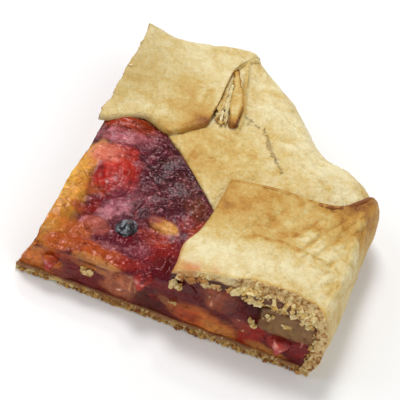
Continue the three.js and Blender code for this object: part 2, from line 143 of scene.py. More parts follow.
class Curve:
    """A centripetal Catmull-Rom curve through points, looked up by the share of its length."""

    def __init__(self, points, per_leg=60):
        p = np.array([list(q) + [0.0] * (3 - len(q)) for q in points], float)
        p = np.vstack([2 * p[0] - p[1], p, 2 * p[-1] - p[-2]])
        t = np.linspace(0, 1, per_leg)[:, None]
        line = []
        for a, b, c, d in zip(p[:-3], p[1:-2], p[2:-1], p[3:]):
            ab, bc, cd = (max(np.linalg.norm(v), 1e-6) ** 0.5 for v in (b - a, c - b, d - c))
            out = ((b - a) / ab - (c - a) / (ab + bc) + (c - b) / bc) * bc
            into = ((c - b) / bc - (d - b) / (bc + cd) + (d - c) / cd) * bc
            square, cube = 3 * (c - b) - 2 * out - into, 2 * (b - c) + out + into
            line.append(b + out * t + square * t ** 2 + cube * t ** 3)
        self.line = np.vstack(line)
        gaps = np.linalg.norm(np.diff(self.line, axis=0), axis=1)
        self.length = gaps.sum()
        self.share = np.concatenate([[0], np.cumsum(gaps)]) / self.length

    def at(self, share):
        share = np.clip(share, 0, 1)
        return np.stack([np.interp(share, self.share, self.line[:, k]) for k in range(3)], -1)


def swell(x, y):
    """The dough's low swells, the same as the part's."""
    return (0.55 * np.sin(x / 7.3 + 1.1) * np.sin(y / 8.9 + 0.4) + 0.35 * np.sin(x / 4.1 - y / 5.7 + 2)
            + 0.3 * np.sin(x / 13 + y / 6.1))


def beside(points, line, width, wander=0.0):
    """1 on a wandering line of the plan, fading at its ends, falling off as exp(-(distance / width)^2)."""
    q = points[:, :2] + wander * scattered(points, 4, 91, 92)
    nearest, share = np.full(len(q), np.inf), np.zeros(len(q))
    for k, (a, b) in enumerate(zip(np.array(line[:-1], float), np.array(line[1:], float))):
        along = np.clip((q - a) @ (b - a) / ((b - a) @ (b - a)), 0, 1)
        far = np.linalg.norm(q - a - along[:, None] * (b - a), axis=1)
        share = np.where(far < nearest, (k + along) / (len(line) - 1), share)
        nearest = np.minimum(nearest, far)
    return np.exp(-(nearest / width) ** 2) * np.sqrt(np.clip(4 * share * (1 - share) * 1.6, 0, 1))


def past(x, y, line):
    """How far a place of the plan lies past a line, in mm: over 0 on the right-hand side of its run."""
    q = np.stack(np.broadcast_arrays(np.asarray(x, float), y), -1)
    nearest, side = np.full(q.shape[:-1], np.inf), np.zeros(q.shape[:-1])
    for a, b in zip(np.array(line[:-1], float), np.array(line[1:], float)):
        step = b - a
        along = np.clip((q - a) @ step / (step @ step), 0, 1)
        gap = q - a - along[..., None] * step
        far = np.linalg.norm(gap, axis=-1)
        turn = gap[..., 0] * step[1] - gap[..., 1] * step[0]
        side = np.where(far < nearest, np.sign(turn), side)
        nearest = np.minimum(far, nearest)
    return nearest * side


def left_cut(y):
    return LEFT_CUT_AT_TIP + LEFT_CUT_LEAN * y


# ---------------------------------------------------------------- meshes


class Mesh:
    """Points and quads or triangles, with what is painted on the points."""

    def __init__(self, points, faces):
        self.points = np.array(points, float)
        self.faces = np.array(faces, int)
        self.paint = {}

    def normals(self):
        """Point normals: the sum of the cross products of each face's diagonals or sides, made 1 long."""
        p, f = self.points, self.faces
        across = p[f[:, 2]] - p[f[:, 0]]
        other = p[f[:, -1]] - p[f[:, 1]] if f.shape[1] == 4 else p[f[:, 2]] - p[f[:, 1]]
        face = np.cross(across, other) if f.shape[1] == 4 else np.cross(p[f[:, 1]] - p[f[:, 0]], across)
        total = np.zeros_like(p)
        for k in range(f.shape[1]):
            np.add.at(total, f[:, k], face)
        return unit(total)

    def push(self, amount):
        self.points += self.normals() * np.asarray(amount)[:, None]
        return self

    def above(self, low):
        """Lifts every point that is lower than that height to it."""
        self.points[:, 2] = np.maximum(self.points[:, 2], low)

    def outwards(self):
        """Turns every face round if the mesh is inside out."""
        p, f = self.points, self.faces
        volume = np.einsum("ij,ij->", p[f[:, 0]], np.cross(p[f[:, 1]], p[f[:, 2]]))
        if f.shape[1] == 4:
            volume += np.einsum("ij,ij->", p[f[:, 0]], np.cross(p[f[:, 2]], p[f[:, 3]]))
        if volume < 0:
            self.faces = self.faces[:, ::-1]
        return self


def box_shell(columns):
    """
    The skin of a box of grid points, for a solid that is a function of three parameters. columns holds the
    values of each parameter. Gives the parameters of each point of the skin, and the quads.
    """
    n = [len(c) - 1 for c in columns]
    quads = []
    ids = -np.ones([k + 1 for k in n], int)
    inside = np.zeros_like(ids, bool)
    inside[1:-1, 1:-1, 1:-1] = True
    ids[~inside] = np.arange((~inside).sum())
    place = np.argwhere(~inside)
    params = np.stack([np.asarray(columns[k])[place[:, k]] for k in range(3)], -1)
    for axis in range(3):
        for end, flip in ((0, True), (n[axis], False)):
            face = np.take(ids, end, axis=axis)
            a, b, c, d = face[:-1, :-1], face[1:, :-1], face[1:, 1:], face[:-1, 1:]
            quad = np.stack([a, b, c, d], -1).reshape(-1, 4)
            if flip != (axis == 1):
                quad = quad[:, ::-1]
            quads.append(quad)
    return params, np.vstack(quads)


def blob(rounds, talls):
    """A unit sphere's grid with closed poles: directions, and triangles that face outwards."""
    turn = np.linspace(0, 2 * np.pi, rounds, endpoint=False)
    tilt = np.linspace(0, np.pi, talls + 1)[1:-1]
    ring = np.stack([np.cos(turn), np.sin(turn), np.zeros(rounds)], -1)
    body = np.sin(tilt)[:, None, None] * ring[None] + np.cos(tilt)[:, None, None] * np.array([0, 0, 1.0])
    points = np.vstack([[[0, 0, 1.0]], body.reshape(-1, 3), [[0, 0, -1.0]]])
    i = np.arange(rounds)
    j = (i + 1) % rounds
    faces = [np.stack([np.zeros(rounds, int), 1 + i, 1 + j], -1)]
    for k in range(talls - 2):
        a, b = 1 + k * rounds + i, 1 + k * rounds + j
        faces += [np.stack([a, a + rounds, b], -1), np.stack([b, a + rounds, b + rounds], -1)]
    last = 1 + (talls - 2) * rounds
    faces.append(np.stack([last + i, np.full(rounds, len(points) - 1), last + j], -1))
    return points, np.vstack(faces)


def ring_faces(rays, columns):
    """
    Triangles of a closed skin whose points run ray by ray, columns of them to a ray, from a first ring to a
    last one. Two more points follow: the pole inside the last ring, then the pole inside the first.
    """
    i = np.arange(rays)
    j = (i + 1) % rays
    k = np.arange(columns - 1)
    a, b = (i[:, None] * columns + k).ravel(), (j[:, None] * columns + k).ravel()
    last, poles = columns - 1, rays * columns
    return np.vstack([
        np.stack([a, b, b + 1], -1),
        np.stack([a, b + 1, a + 1], -1),
        np.stack([i * columns + last, j * columns + last, np.full(rays, poles)], -1),
        np.stack([j * columns, i * columns, np.full(rays, poles + 1)], -1),
    ])


def joined(meshes):
    """Several meshes as one, each still closed."""
    offset = np.cumsum([0] + [len(m.points) for m in meshes])
    faces = np.vstack([m.faces + o for m, o in zip(meshes, offset)])
    whole = Mesh(np.vstack([m.points for m in meshes]), faces)
    for name in meshes[0].paint:
        whole.paint[name] = np.concatenate([m.paint[name] for m in meshes])
    return whole


def add_piece(name, mesh, material, slot=None, replaced=(), smooth_shaded=True):
    """
    Puts a mesh in the scene in the part's frame, in metres: a piece of the part if it has a slot, and
    otherwise part of the stage.
    """
    if slot:
        mesh.outwards()
    points = (mesh.points + PLACE) / 1000
    data = bpy.data.meshes.new(name)
    sides = mesh.faces.shape[1]
    data.vertices.add(len(points))
    data.vertices.foreach_set("co", points.astype(np.float32).ravel())
    data.loops.add(mesh.faces.size)
    data.loops.foreach_set("vertex_index", mesh.faces.astype(np.int32).ravel())
    data.polygons.add(len(mesh.faces))
    data.polygons.foreach_set("loop_start", np.arange(0, mesh.faces.size, sides, dtype=np.int32))
    data.polygons.foreach_set("use_smooth", np.full(len(mesh.faces), smooth_shaded))
    data.update(calc_edges=True)
    for key, values in mesh.paint.items():
        kind, field = "FLOAT", "value"
        if values.ndim == 2:
            kind, field = "FLOAT_COLOR", "color"
            values = np.concatenate([values, np.ones((len(values), 1))], 1)
        layer = data.attributes.new(key, kind, "POINT").data
        layer.foreach_set(field, values.astype(np.float32).ravel())
    data.validate()
    piece = bpy.data.objects.new(name, data)
    bpy.context.collection.objects.link(piece)
    data.materials.append(material)
    if slot:
        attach(piece, "root")
    if replaced:
        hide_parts(*replaced)


# ---------------------------------------------------------------- materials


class Value:
    """A shader socket on which + - and * build Math nodes."""

    def __init__(self, shader, socket):
        self.shader = shader
        self.socket = socket

    def maths(self, operation, other, swapped=False):
        first, second = (other, self) if swapped else (self, other)
        return self.shader.node("ShaderNodeMath", {"operation": operation}, {0: first, 1: second})

    def __add__(self, other):
        return self.maths("ADD", other)

    def __sub__(self, other):
        return self.maths("SUBTRACT", other)

    def __rsub__(self, other):
        return self.maths("SUBTRACT", other, swapped=True)

    def __mul__(self, other):
        return self.maths("MULTIPLY", other)

    __radd__, __rmul__ = __add__, __mul__

    def clamped(self, low, high, to_low=0.0, to_high=1.0):
        """This value, mapped from low..high to to_low..to_high and kept between them."""
        inputs = {"Value": self, "From Min": low, "From Max": high, "To Min": to_low, "To Max": to_high}
        return self.shader.node("ShaderNodeMapRange", {"clamp": True}, inputs, "Result")


class Shader:
    """One material: a Principled shader and the nodes that feed it."""

    def __init__(self, name, **constants):
        self.material = bpy.data.materials.new(name)
        self.material.use_nodes = True
        self.tree = self.material.node_tree
        self.surface = self.tree.nodes["Principled BSDF"]
        for key, value in constants.items():
            self.surface.inputs[key.replace("_", " ")].default_value = value
        self.place = self.node("ShaderNodeTexCoord", {}, {}, "Object")

    def node(self, kind, settings, inputs, output=0):
        """Adds a node: its settings, then its inputs, each a number, a colour or another node's Value."""
        made = self.tree.nodes.new(kind)
        for key, value in settings.items():
            setattr(made, key, value)
        for key, value in inputs.items():
            if isinstance(value, Value):
                self.tree.links.new(value.socket, made.inputs[key])
            else:
                made.inputs[key].default_value = value
        return Value(self, made.outputs[output])

    def painted(self, name, output="Fac"):
        return self.node("ShaderNodeAttribute", {"attribute_name": name}, {}, output)

    def grain(self, size_mm, detail=3.0, rough=0.55, place=None, warp=0.0):
        """Noise from 0 to 1 with features of about that size."""
        inputs = {"Vector": place or self.place, "Scale": 1000 / size_mm, "Detail": detail,
                  "Roughness": rough, "Distortion": warp}
        return self.node("ShaderNodeTexNoise", {}, inputs, "Fac")

    def cells(self, size_mm):
        inputs = {"Vector": self.place, "Scale": 1000 / size_mm}
        return self.node("ShaderNodeTexVoronoi", {}, inputs, "Distance")

    def stretched(self, degrees, across):
        """Object coordinates turned about Z, and shortened along their first axis."""
        turn = (0, 0, math.radians(-degrees))
        inputs = {"Vector": self.place, "Rotation": turn, "Scale": (1 / across, 1, 1)}
        return self.node("ShaderNodeMapping", {}, inputs, "Vector")

    def vector(self, operation, first, second=(0, 0, 0), output="Vector"):
        return self.node("ShaderNodeVectorMath", {"operation": operation}, {0: first, 1: second}, output)

    def from_line(self, line, wander):
        """
        Distance in mm, seen from above, to a line of the plan in the slice's frame: for each leg
        |q - a - clamp((q - a).(b - a) / |b - a|^2) (b - a)|, and the least of them. Noise of 2.5 mm makes
        the line wander.
        """
        inputs = {"Vector": self.place, "Scale": 1000 / 2.5, "Detail": 4.0}
        scatter = self.node("ShaderNodeTexNoise", {}, inputs, "Color")
        centred = self.vector("SUBTRACT", scatter, (0.5, 0.5, 0.5))
        shift = self.vector("MULTIPLY", centred, (wander / 500, wander / 500, 0))
        flat = self.vector("MULTIPLY", self.vector("ADD", self.place, shift), (1, 1, 0))
        least = None
        legs = (np.array(line, float) + PLACE[:2]) / 1000
        for a, b in zip(legs[:-1], legs[1:]):
            step = b - a
            gap = self.vector("SUBTRACT", flat, (*a, 0))
            along = self.vector("DOT_PRODUCT", gap, (*(step / (step @ step)), 0), "Value").clamped(0, 1)
            inputs = {0: (*step, 0), "Scale": along}
            nearest = self.node("ShaderNodeVectorMath", {"operation": "SCALE"}, inputs, "Vector")
            far = self.vector("LENGTH", self.vector("SUBTRACT", gap, nearest), output="Value")
            least = far if least is None else least.maths("MINIMUM", far)
        return least * 1000

    def mix(self, share, first, second, blend="MIX"):
        def colour(c):
            return c if isinstance(c, Value) else (*linear(c), 1)
        settings = {"data_type": "RGBA", "blend_type": blend, "clamp_factor": True}
        return self.node("ShaderNodeMix", settings, {0: share, 6: colour(first), 7: colour(second)}, 2)

    def wire(self, **inputs):
        for key, value in inputs.items():
            self.tree.links.new(value.socket, self.surface.inputs[key.replace("_", " ")])
        return self

    def relief(self, *heights):
        """Bump nodes in a row. Each height is (Value, strength, depth in mm)."""
        normal = None
        for height, strength, depth in heights:
            inputs = {"Height": height, "Strength": strength, "Distance": depth / 1000}
            if normal:
                inputs["Normal"] = normal
            normal = self.node("ShaderNodeBump", {}, inputs, "Normal")
        self.tree.links.new(normal.socket, self.surface.inputs["Normal"])
        return self


FINE_CRACK = [(63.4, 89.6), (67, 88.4), (70.5, 88.6), (73.4, 84.6), (76.4, 79.3), (80, 74.4), (83.6, 69.8)]
DOUGH_GLOW = {"Subsurface_Radius": (1.0, 0.6, 0.3)}
FRUIT_GLOW = {"Subsurface_Radius": (1.0, 0.25, 0.12)}


def crust_material():
    """Baked dough: cream to gold to brown by the painted brown, mottled, with fine dry pits and wrinkles."""
    s = Shader("baked_dough", Roughness=0.55, Specular_IOR_Level=0.3, Subsurface_Weight=0.06,
               Subsurface_Scale=0.001, **DOUGH_GLOW)
    mottle = s.grain(9, 6, 0.62, warp=0.8)
    fine = s.grain(1.2, 3, 0.6)
    wrinkled = s.grain(3.0, 4, 0.55, warp=1.0)
    brown = s.painted("brown") + (mottle - 0.5) * 0.9 + (fine - 0.5) * 0.4 + (wrinkled - 0.5) * 0.3
    pale = s.mix(brown.clamped(0.0, 0.36), "#e7d9ab", "#d0b26b")
    gold = s.mix(brown.clamped(0.34, 0.66), pale, "#bf8d3c")
    dark = s.mix(brown.clamped(0.64, 1.1), gold, "#82481c")
    broken = s.grain(2.2).clamped(0.4, 0.56)
    cracks = s.painted("crease") * s.from_line(FINE_CRACK, 3.0).clamped(1.3, 0.2) * broken
    crumb = s.grain(1.6, 3, 0.6) + (wrinkled - 0.5) * 0.8
    grains = s.mix(crumb.clamped(0.36, 0.62), "#a87434", "#dac088")
    # painted shade: darker brown in the low spots of the crumb, as in its holes
    open_crumb = s.mix(crumb.clamped(0.38, 0.28), grains, "#7a4c20")
    cut = s.mix(s.painted("open"), dark, open_crumb)
    creased = s.mix(cracks * 0.45, cut, "#8c642e")
    tinted = s.mix(s.painted("stain"), creased, s.painted("tint", "Color"))
    s.wire(Base_Color=tinted, Roughness=s.painted("stain").clamped(0, 1, 0.55, 0.25))
    pits = s.cells(1.6).clamped(0.0, 0.45)
    return s.relief((1 - cracks, 0.9, 0.9), (mottle, 0.7, 1.1), (wrinkled, 1.0, 0.9), (fine, 0.7, 0.3),
                    (pits, 0.3, 0.15)).material


def crumb_material():
    """Broken dough: cream and gold grains, open and rough."""
    s = Shader("broken_dough", Roughness=0.7, Specular_IOR_Level=0.2, Subsurface_Weight=0.12,
               Subsurface_Scale=0.0012, **DOUGH_GLOW)
    mottle = s.grain(2.0, 4, 0.62, warp=0.4)
    brown = s.painted("brown") + (mottle - 0.5) * 1.1
    pale = s.mix(brown.clamped(0.0, 0.5), "#e2cd96", "#cba456")
    dark = s.mix(brown.clamped(0.5, 1.1), pale, "#7c4a1c")
    tinted = s.mix(s.painted("stain"), dark, s.painted("tint", "Color"))
    s.wire(Base_Color=tinted)
    return s.relief((s.grain(1.2, 4, 0.65), 0.8, 0.4)).material


def wet_material(name, roughness, glow, relief_depth, gloss):
    """
    Fruit or jelly: the painted tint under a thin gloss. Where skin is painted it has fine streaks
    that turn from place to place, and a pale pink painted highlight where streaks and mottle run high.
    """
    s = Shader(name, Specular_IOR_Level=0.3, Specular_Tint=(*gloss, 1), Coat_Weight=0.08,
               Coat_Roughness=0.03, Subsurface_Weight=glow, Subsurface_Scale=0.0016, **FRUIT_GLOW)
    one = s.grain(1.3, 1, 0.5, place=s.stretched(62, 5), warp=0.6)
    other = s.grain(1.3, 1, 0.5, place=s.stretched(-46, 5), warp=0.6)
    which = s.grain(9, 1, 0.5).clamped(0.42, 0.58)
    skin = s.painted("skin")
    streaks = (one * which + other * (1 - which)) * skin
    mottle = s.grain(2.2, 4, 0.6, warp=0.8)
    tint = s.painted("tint", "Color")
    # painted highlight: pale pink #dc9c94 mixed into the tint where streaks and mottle run high, standing in
    # for glints of the gloss
    light = s.mix((mottle * 0.5 + streaks * 0.7).clamped(0.64, 0.82) * skin * 0.24, tint, "#dc9c94")
    deep = s.mix(mottle.clamped(0.48, 0.3) * 0.7, light, "#a8584c", "MULTIPLY")
    s.wire(Base_Color=deep, Roughness=mottle.clamped(0.4, 0.75, roughness, roughness + 0.08))
    ripple = s.grain(2.2, 1, 0.45, warp=0.8)
    return s.relief((ripple, 1.0, 1.3 * relief_depth), (streaks, 0.9, 1.3 * relief_depth)).material


def floor_material():
    """A matt white table with the faintest unevenness."""
    s = Shader("table", Roughness=0.9, Specular_IOR_Level=0.1)
    s.wire(Base_Color=s.mix(s.grain(60, 2, 0.5), "#f8f8f8", "#f4f4f4"))
    return s.material


DOUGH = crust_material()
BROKEN = crumb_material()
JELLY = wet_material("jelly", 0.06, 0.22, 0.6, (1.0, 0.42, 0.48))
FRUIT = wet_material("cooked_fruit", 0.07, 0.28, 0.5, (1.0, 0.66, 0.62))

# ---------------------------------------------------------------- dough

WIDEST = 0.2  # up at which a flap's wall is widest
SHOULDER = 0.5  # up at which its top begins
SMALL_STEP = 1e-3


class Flap:
    """A folded flap of dough: the part's own surface, as a function of along, up and deep."""

    def __init__(self, outline, edge, height, run, ridge, thickness, edge_thickness, first=None, last=None):
        self.outline, self.edge = Curve(outline), Curve(edge)
        self.height, self.run, self.ridge = height, run, ridge
        self.thickness, self.edge_thickness = thickness, edge_thickness
        self.first = Curve(first) if first else None
        self.last = Curve(last) if last else None

    def thick(self, along, up):
        on_top = lerp(WALL_THICKNESS, lerp(*self.thickness, along), smooth(up, WIDEST, 0.65))
        return lerp(on_top, self.edge_thickness, smooth(up, 0.75, 1))

    def bowed(self, points, line, share, pull):
        if line:
            straight = lerp(line.at(0.0), line.at(1.0), share[..., None])
            points += (line.at(share) - straight) * pull[..., None]

    def at(self, along, up, deep):
        """
        Foot: inward = FOOT_INSET (1 - sin), z = WALL_TOP rise. Shoulder: a quarter ellipse of run by height.
        Top: level to the free edge with a ridge of 4 r t (1 - t). Swell is added above the wall.
        """
        along, up, deep = np.broadcast_arrays(*(np.asarray(v, float) for v in (along, up, deep)))
        wall, free = self.outline.at(along), self.edge.at(along)
        reach = np.hypot(free[..., 0] - wall[..., 0], free[..., 1] - wall[..., 1])
        run, height = lerp(*self.run, along), lerp(*self.height, along)
        turn = np.clip((up - WIDEST) / (SHOULDER - WIDEST), 0, 1) * np.pi / 2
        rise = np.clip(up / WIDEST, 0, 1)
        over = np.clip((up - SHOULDER) / (1 - SHOULDER), 0, 1)
        in_wall = FOOT_INSET * (1 - np.sin(rise * np.pi / 2))
        in_turn, in_top = run * (1 - np.cos(turn)), lerp(run, reach, over)
        inward = np.where(up < WIDEST, in_wall, np.where(up < SHOULDER, in_turn, in_top))
        turned_up = lerp(WALL_TOP, height, np.sin(turn))
        top = lerp(height, free[..., 2], over) + 4 * lerp(*self.ridge, along) * over * (1 - over)
        z = np.where(up < WIDEST, WALL_TOP * rise, np.where(up < SHOULDER, turned_up, top))
        share = (inward + deep * np.cos(turn)) / reach
        points = np.stack([lerp(wall[..., 0], free[..., 0], share), lerp(wall[..., 1], free[..., 1], share),
                           z - deep * np.sin(turn)], -1)
        self.bowed(points, self.first, share, (1 - along) ** 4)
        self.bowed(points, self.last, share, along ** 4)
        points[..., 2] += swell(points[..., 0], points[..., 1]) * smooth(z, WALL_TOP, WALL_TOP + 12)
        return points

    def rounded(self, along, up, t, ends=(False, False)):
        """A point of the dough, t through its thickness: its free edge and open ends are half rounds."""
        thick = self.thick(along, up)
        is_edge = up > 1 - 1e-6
        is_first, is_last = (along < 1e-6) & ends[0], (along > 1 - 1e-6) & ends[1]
        is_rim = is_edge | is_first | is_last
        deep = thick * np.where(is_rim, (1 - np.cos(np.pi * t)) / 2, t)
        points = self.at(along, up, deep)
        up_dir = unit(self.at(along, up, 0) - self.at(along, up - SMALL_STEP, 0))
        after, before = np.minimum(along + SMALL_STEP, 1), np.maximum(along - SMALL_STEP, 0)
        on_dir = unit(self.at(after, up, 0) - self.at(before, up, 0))
        half = thick[..., None] / 2
        points -= up_dir * half * (smooth(up, 0.8, 1) ** 2)[..., None]
        round_out = half * np.sin(np.pi * t)[..., None]
        points += up_dir * round_out * is_edge[..., None]
        if ends[0]:
            points += on_dir * half * (smooth(along, 0.08, 0) ** 2)[..., None]
            points -= on_dir * round_out * is_first[..., None]
        if ends[1]:
            points -= on_dir * half * (smooth(along, 0.92, 1) ** 2)[..., None]
            points += on_dir * round_out * is_last[..., None]
        return points


MIDDLE_FLAP = Flap(
    outline=[(127, 66), (126, 74), (121.5, 82.5), (115, 87), (107.5, 89.8), (98.5, 94), (82.6, 113.8),
             (66.2, 128.6), (57.5, 133), (50, 132)],
    edge=[(74, 27.5, 27), (62.1, 41, 27), (50, 54.9, 26), (40.7, 64.5, 26), (33.4, 71.6, 26), (24, 80.5, 26)],
    height=(27.5, 30), run=(10, 10), ridge=(1.6, 1.6), thickness=(4.8, 4.8), edge_thickness=4,
)
RIGHT_FLAP = Flap(
    outline=[(121.6, -3), (124.3, 16), (126, 45), (127.3, 66), (127.2, 74), (124.3, 80.5)],
    edge=[(57.8, -3, 31), (58.6, 6, 31), (58.4, 15, 30.7), (62, 23.4, 31.2), (64.2, 33.5, 32.3),
          (66.4, 52.3, 34)],
    last=[(124.3, 80.5), (120.3, 74.3), (116.4, 68.6), (110, 60.5), (101, 57.4), (81, 55.3), (66.4, 52.3)],
    height=(35.5, 31.5), run=(6.5, 11), ridge=(3.6, 2.4), thickness=(5.8, 7.5), edge_thickness=3.8,
)
BACK_FLAP = Flap(
    outline=[(63, 129.6), (57.5, 134.3), (48.5, 133.6), (39, 131.4), (24, 129.4), (10, 131.4), (2, 133.2)],
    edge=[(49.6, 86.8, 31.8), (49, 80.2, 31.2), (44.9, 76, 30.4), (35.7, 69.8, 29.4), (24.5, 73.6, 28.6),
          (11, 66.6, 28), (2, 65, 28)],
    first=[(63, 129.6), (56.5, 121), (51.6, 113.3), (50.6, 105.8), (50.4, 95.6), (49.6, 86.8)],
    height=(31.5, 29.5), run=(9, 10), ridge=(1.2, 0.8), thickness=(4.8, 4.8), edge_thickness=4.2,
)


def crumbly(points, seed=0):
    """Relief of a broken dough face in mm: layered grains with pits."""
    grains = layers(points, 1.9, 3, seed, 0.6)
    pits = np.clip(ridges(points, 2.6, 2, seed + 4) - 0.72, 0, 1)
    return 0.42 * grains - 1.6 * pits


def spots(points, places):
    """The sum of soft round spots: each is x, y, radius, strength, and then z, or nothing for any height."""
    total = np.zeros(len(points))
    for x, y, radius, strength, *height in places:
        square = (points[:, 0] - x) ** 2 + (points[:, 1] - y) ** 2
        for z in height:
            square = square + (points[:, 2] - z) ** 2
        total += strength * np.exp(-square / radius ** 2)
    return total


def falling(distance, reach):
    return np.exp(-(distance / reach) ** 2)


def crust_paint(mesh, brown, crease=0.0, stain=0.0, open_crumb=0.0):
    """Paints how brown the dough is, and from 0 to 1 where it is creased, stained by juice or broken."""
    count = len(mesh.points)
    mesh.paint["brown"] = np.clip(brown, -0.3, 1.3)
    for name, amount in (("crease", crease), ("stain", stain), ("open", open_crumb)):
        mesh.paint[name] = np.clip(amount + np.zeros(count), 0, 1)
    mesh.paint["tint"] = np.tile(linear("#8e2a24"), (count, 1))
    return mesh


def dough_relief(p, seed):
    """The top of baked dough in mm: soft dimples, sharper wrinkles and grains."""
    wrinkled = ridges(p + 1.5 * noise(p, 9, seed + 7)[:, None], 7, 2, seed + 5)
    flaky = ridges(p + 0.8 * noise(p, 4, seed + 8)[:, None], 3.4, 2, seed + 9)
    soft = 0.45 * layers(p, 9, 3, seed) + 0.14 * layers(p, 1.8, 2, seed + 1)
    return soft + 0.4 * (0.55 - wrinkled) + 0.3 * (0.55 - flaky)


def spaced(count, bias=1.0):
    """Grid lines from 0 to 1: even ones raised to the power bias."""
    return np.linspace(0, 1, int(count * FINE) + 1) ** bias


def cut_at(flap, along, up, deep, wanted):
    """The along at which a measure of the flap's point is 0: five rounds of Newton's method."""
    for _ in range(5):
        here = wanted(flap.at(along, up, deep))
        slope = (wanted(flap.at(along + SMALL_STEP, up, deep)) - here) / SMALL_STEP
        along = along - here / np.where(np.abs(slope) < 1e-6, 1e-6, slope)
    return along


FLAP_LENGTH = 75  # mm of a flap along the rim
TOP_LENGTH = 65  # mm of a flap's top, from the rim to the free edge
SECTION_LENGTH = 95  # mm round a flap's section, from its foot to the free edge


def broken_back(x):
    """How far back from the front cut the top crust has crumbled away, in mm."""
    crumbled = smooth(x, 80, 87) * (1 - smooth(x, 112, 117))
    places = np.stack([x, 0 * x, 0 * x], -1)
    crag = (0.25 + 1.0 * crumbled) * layers(places, 3.4, 3, 8)
    return 0.8 + 1.3 * smooth(x, 55, 66) + 2.2 * crumbled + crag


RIGHT_CREASE = [(76, 24), (83, 27.5), (90.3, 28.2), (96, 27.2), (103, 26.6), (111, 26.4), (114, 27)]
SHORT_CREASE = [(105, 22.2), (107.3, 21.5), (112, 21.7), (115, 22.6)]
FAR_CRACKS = [(112, 62), (114.5, 65), (117.4, 69.2)]
RIGHT_PUFF = [(78, 32), (112, 31)]
RIGHT_FOLDS = [(108, 36, 17, 1.0), (112, 52, 13, 1.0), (116, 18, 10, 0.6), (88, 42, 12, 0.5)]
RIGHT_BROWN = [
    (118, 60, 11, 0.24), (111, 52, 13, 0.2), (121, 68, 8, 0.14), (96, 50, 12, 0.12), (67, 50, 5, 0.34),
    (66, 38, 6, 0.24), (80, 45, 8, 0.2), (75, 36, 6, 0.2), (88, 33, 8, 0.12), (68, 12, 12, -0.3),
    (84, 12, 14, -0.26), (100, 14, 12, -0.16), (112, 10, 9, -0.16), (120, 30, 14, -0.16, 24),
    # painted light: this entry makes the low right wall paler, as if more lit
    (122, 10, 12, -0.08, 12),
]
RIGHT_GLAZE = [(63, 3.4, 3.0, 1, 31), (66.5, 3.6, 2.4, 1, 31.6), (73.5, 4.2, 2.2, 0.8, 33)]


def right_flap():
    """The flap on the right, from the front cut, where its top has crumbled, to its thick far side."""
    params, quads = box_shell([spaced(172, bias=1.15), spaced(250), spaced(16)])
    a, u, t = params.T
    deep = t * RIGHT_FLAP.thick(a, u)
    first = RIGHT_FLAP.at(np.zeros_like(u), u, 0)
    on_top = smooth(u, 0.4, 0.52)
    back = broken_back(first[:, 0]) * on_top * np.clip(1 - 1.15 * t, 0, 1) ** 0.8
    start = cut_at(RIGHT_FLAP, np.full_like(u, 0.05), u, deep, lambda p: p[:, 1] - back)
    along = start + (1 - start) * a
    at_cut = a < 1e-9
    mesh = Mesh(RIGHT_FLAP.rounded(np.where(a > 1 - 1e-9, 1.0, along), u, t, (False, True)), quads)
    mesh.points[at_cut, 1] = np.where(u[at_cut] > 1 - 1e-6, mesh.points[at_cut, 1], back[at_cut])
    p = mesh.points.copy()
    outer = 1 - smooth(t, 0, 0.25)
    over = smooth(p[:, 2], 24, 30)
    crease = beside(p, RIGHT_CREASE, 1.0, 0.8) + 0.8 * beside(p, SHORT_CREASE, 0.7, 0.3)
    puffed = beside(p, RIGHT_PUFF, 4.5) * 0.9
    crack = beside(p, FAR_CRACKS, 0.5, 0.5)
    folded = ridges(turned(p + 1.5 * noise(p, 7, 3)[:, None], 62, 2.4), 5.5, 2, 6) - 0.55
    in_folds = over * np.clip(spots(p, RIGHT_FOLDS), 0, 1)
    raised = dough_relief(p, 2) + 1.6 * in_folds * folded
    calm = 1 - 0.7 * smooth(along, 0.95, 0.99)
    relief = outer * (raised * calm - over * (0.75 * crease + 0.6 * crack) + over * puffed)
    crumbled = at_cut * smooth(first[:, 0], 77, 84)
    relief += at_cut * (crumbly(p, 7) * (0.3 + 0.5 * crumbled + 1.6 * crumbled * on_top) - 0.2)
    mesh.push(relief).above(ABOVE_TABLE)
    brown = 0.38 + 0.12 * layers(p, 14, 3, 9) + 0.18 * raised + 0.16 * in_folds * folded
    from_end = (1 - along) * FLAP_LENGTH
    brown += 0.4 * falling(from_end, 7) * smooth(u, 0.3, 0.5) * smooth(p[:, 0], 90, 112)
    brown += 0.16 * falling(from_end, 3) * smooth(u, 0.3, 0.5) + spots(p, RIGHT_BROWN)
    brown += 0.26 * bump(p[:, 1] - back, 0.0, 1.6) * over * (1 - at_cut)
    # browner along the creases: partly browning, partly painted shade where the folds shadow them
    brown += 0.25 * over * crease - 0.14 * at_cut
    low_edge = smooth(u, 0.96, 1.0) * (1 - smooth(p[:, 1], 18, 30))
    glazed = spots(p, RIGHT_GLAZE)
    # The lower cut face under the broken top is painted dark: a juice stain where the crust is whole, and a
    # painted shade of the hollow under the crumbled ledge
    hollow = at_cut * (1 - smooth(first[:, 0], 107, 113))
    juice_and_hollow_shade = hollow * smooth(t + 0.12 * noise(p, 2.4, 13) - 0.14 * crumbled, 0.42, 0.56)
    stain = np.maximum(0.5 * low_edge * smooth(t, 0.05, 0.4) + 0.6 * np.clip(glazed, 0, 1), 0.95 * juice_and_hollow_shade)
    brown += 0.1 * at_cut * (1 - crumbled)
    crust_paint(mesh, brown, over * outer, stain, at_cut * crumbled * (1 - juice_and_hollow_shade))
    juice = lerp(linear("#40090c"), linear("#5c2c18"), crumbled[:, None])
    mesh.paint["tint"] = lerp(linear("#cc6c42"), juice, juice_and_hollow_shade[:, None])
    return mesh


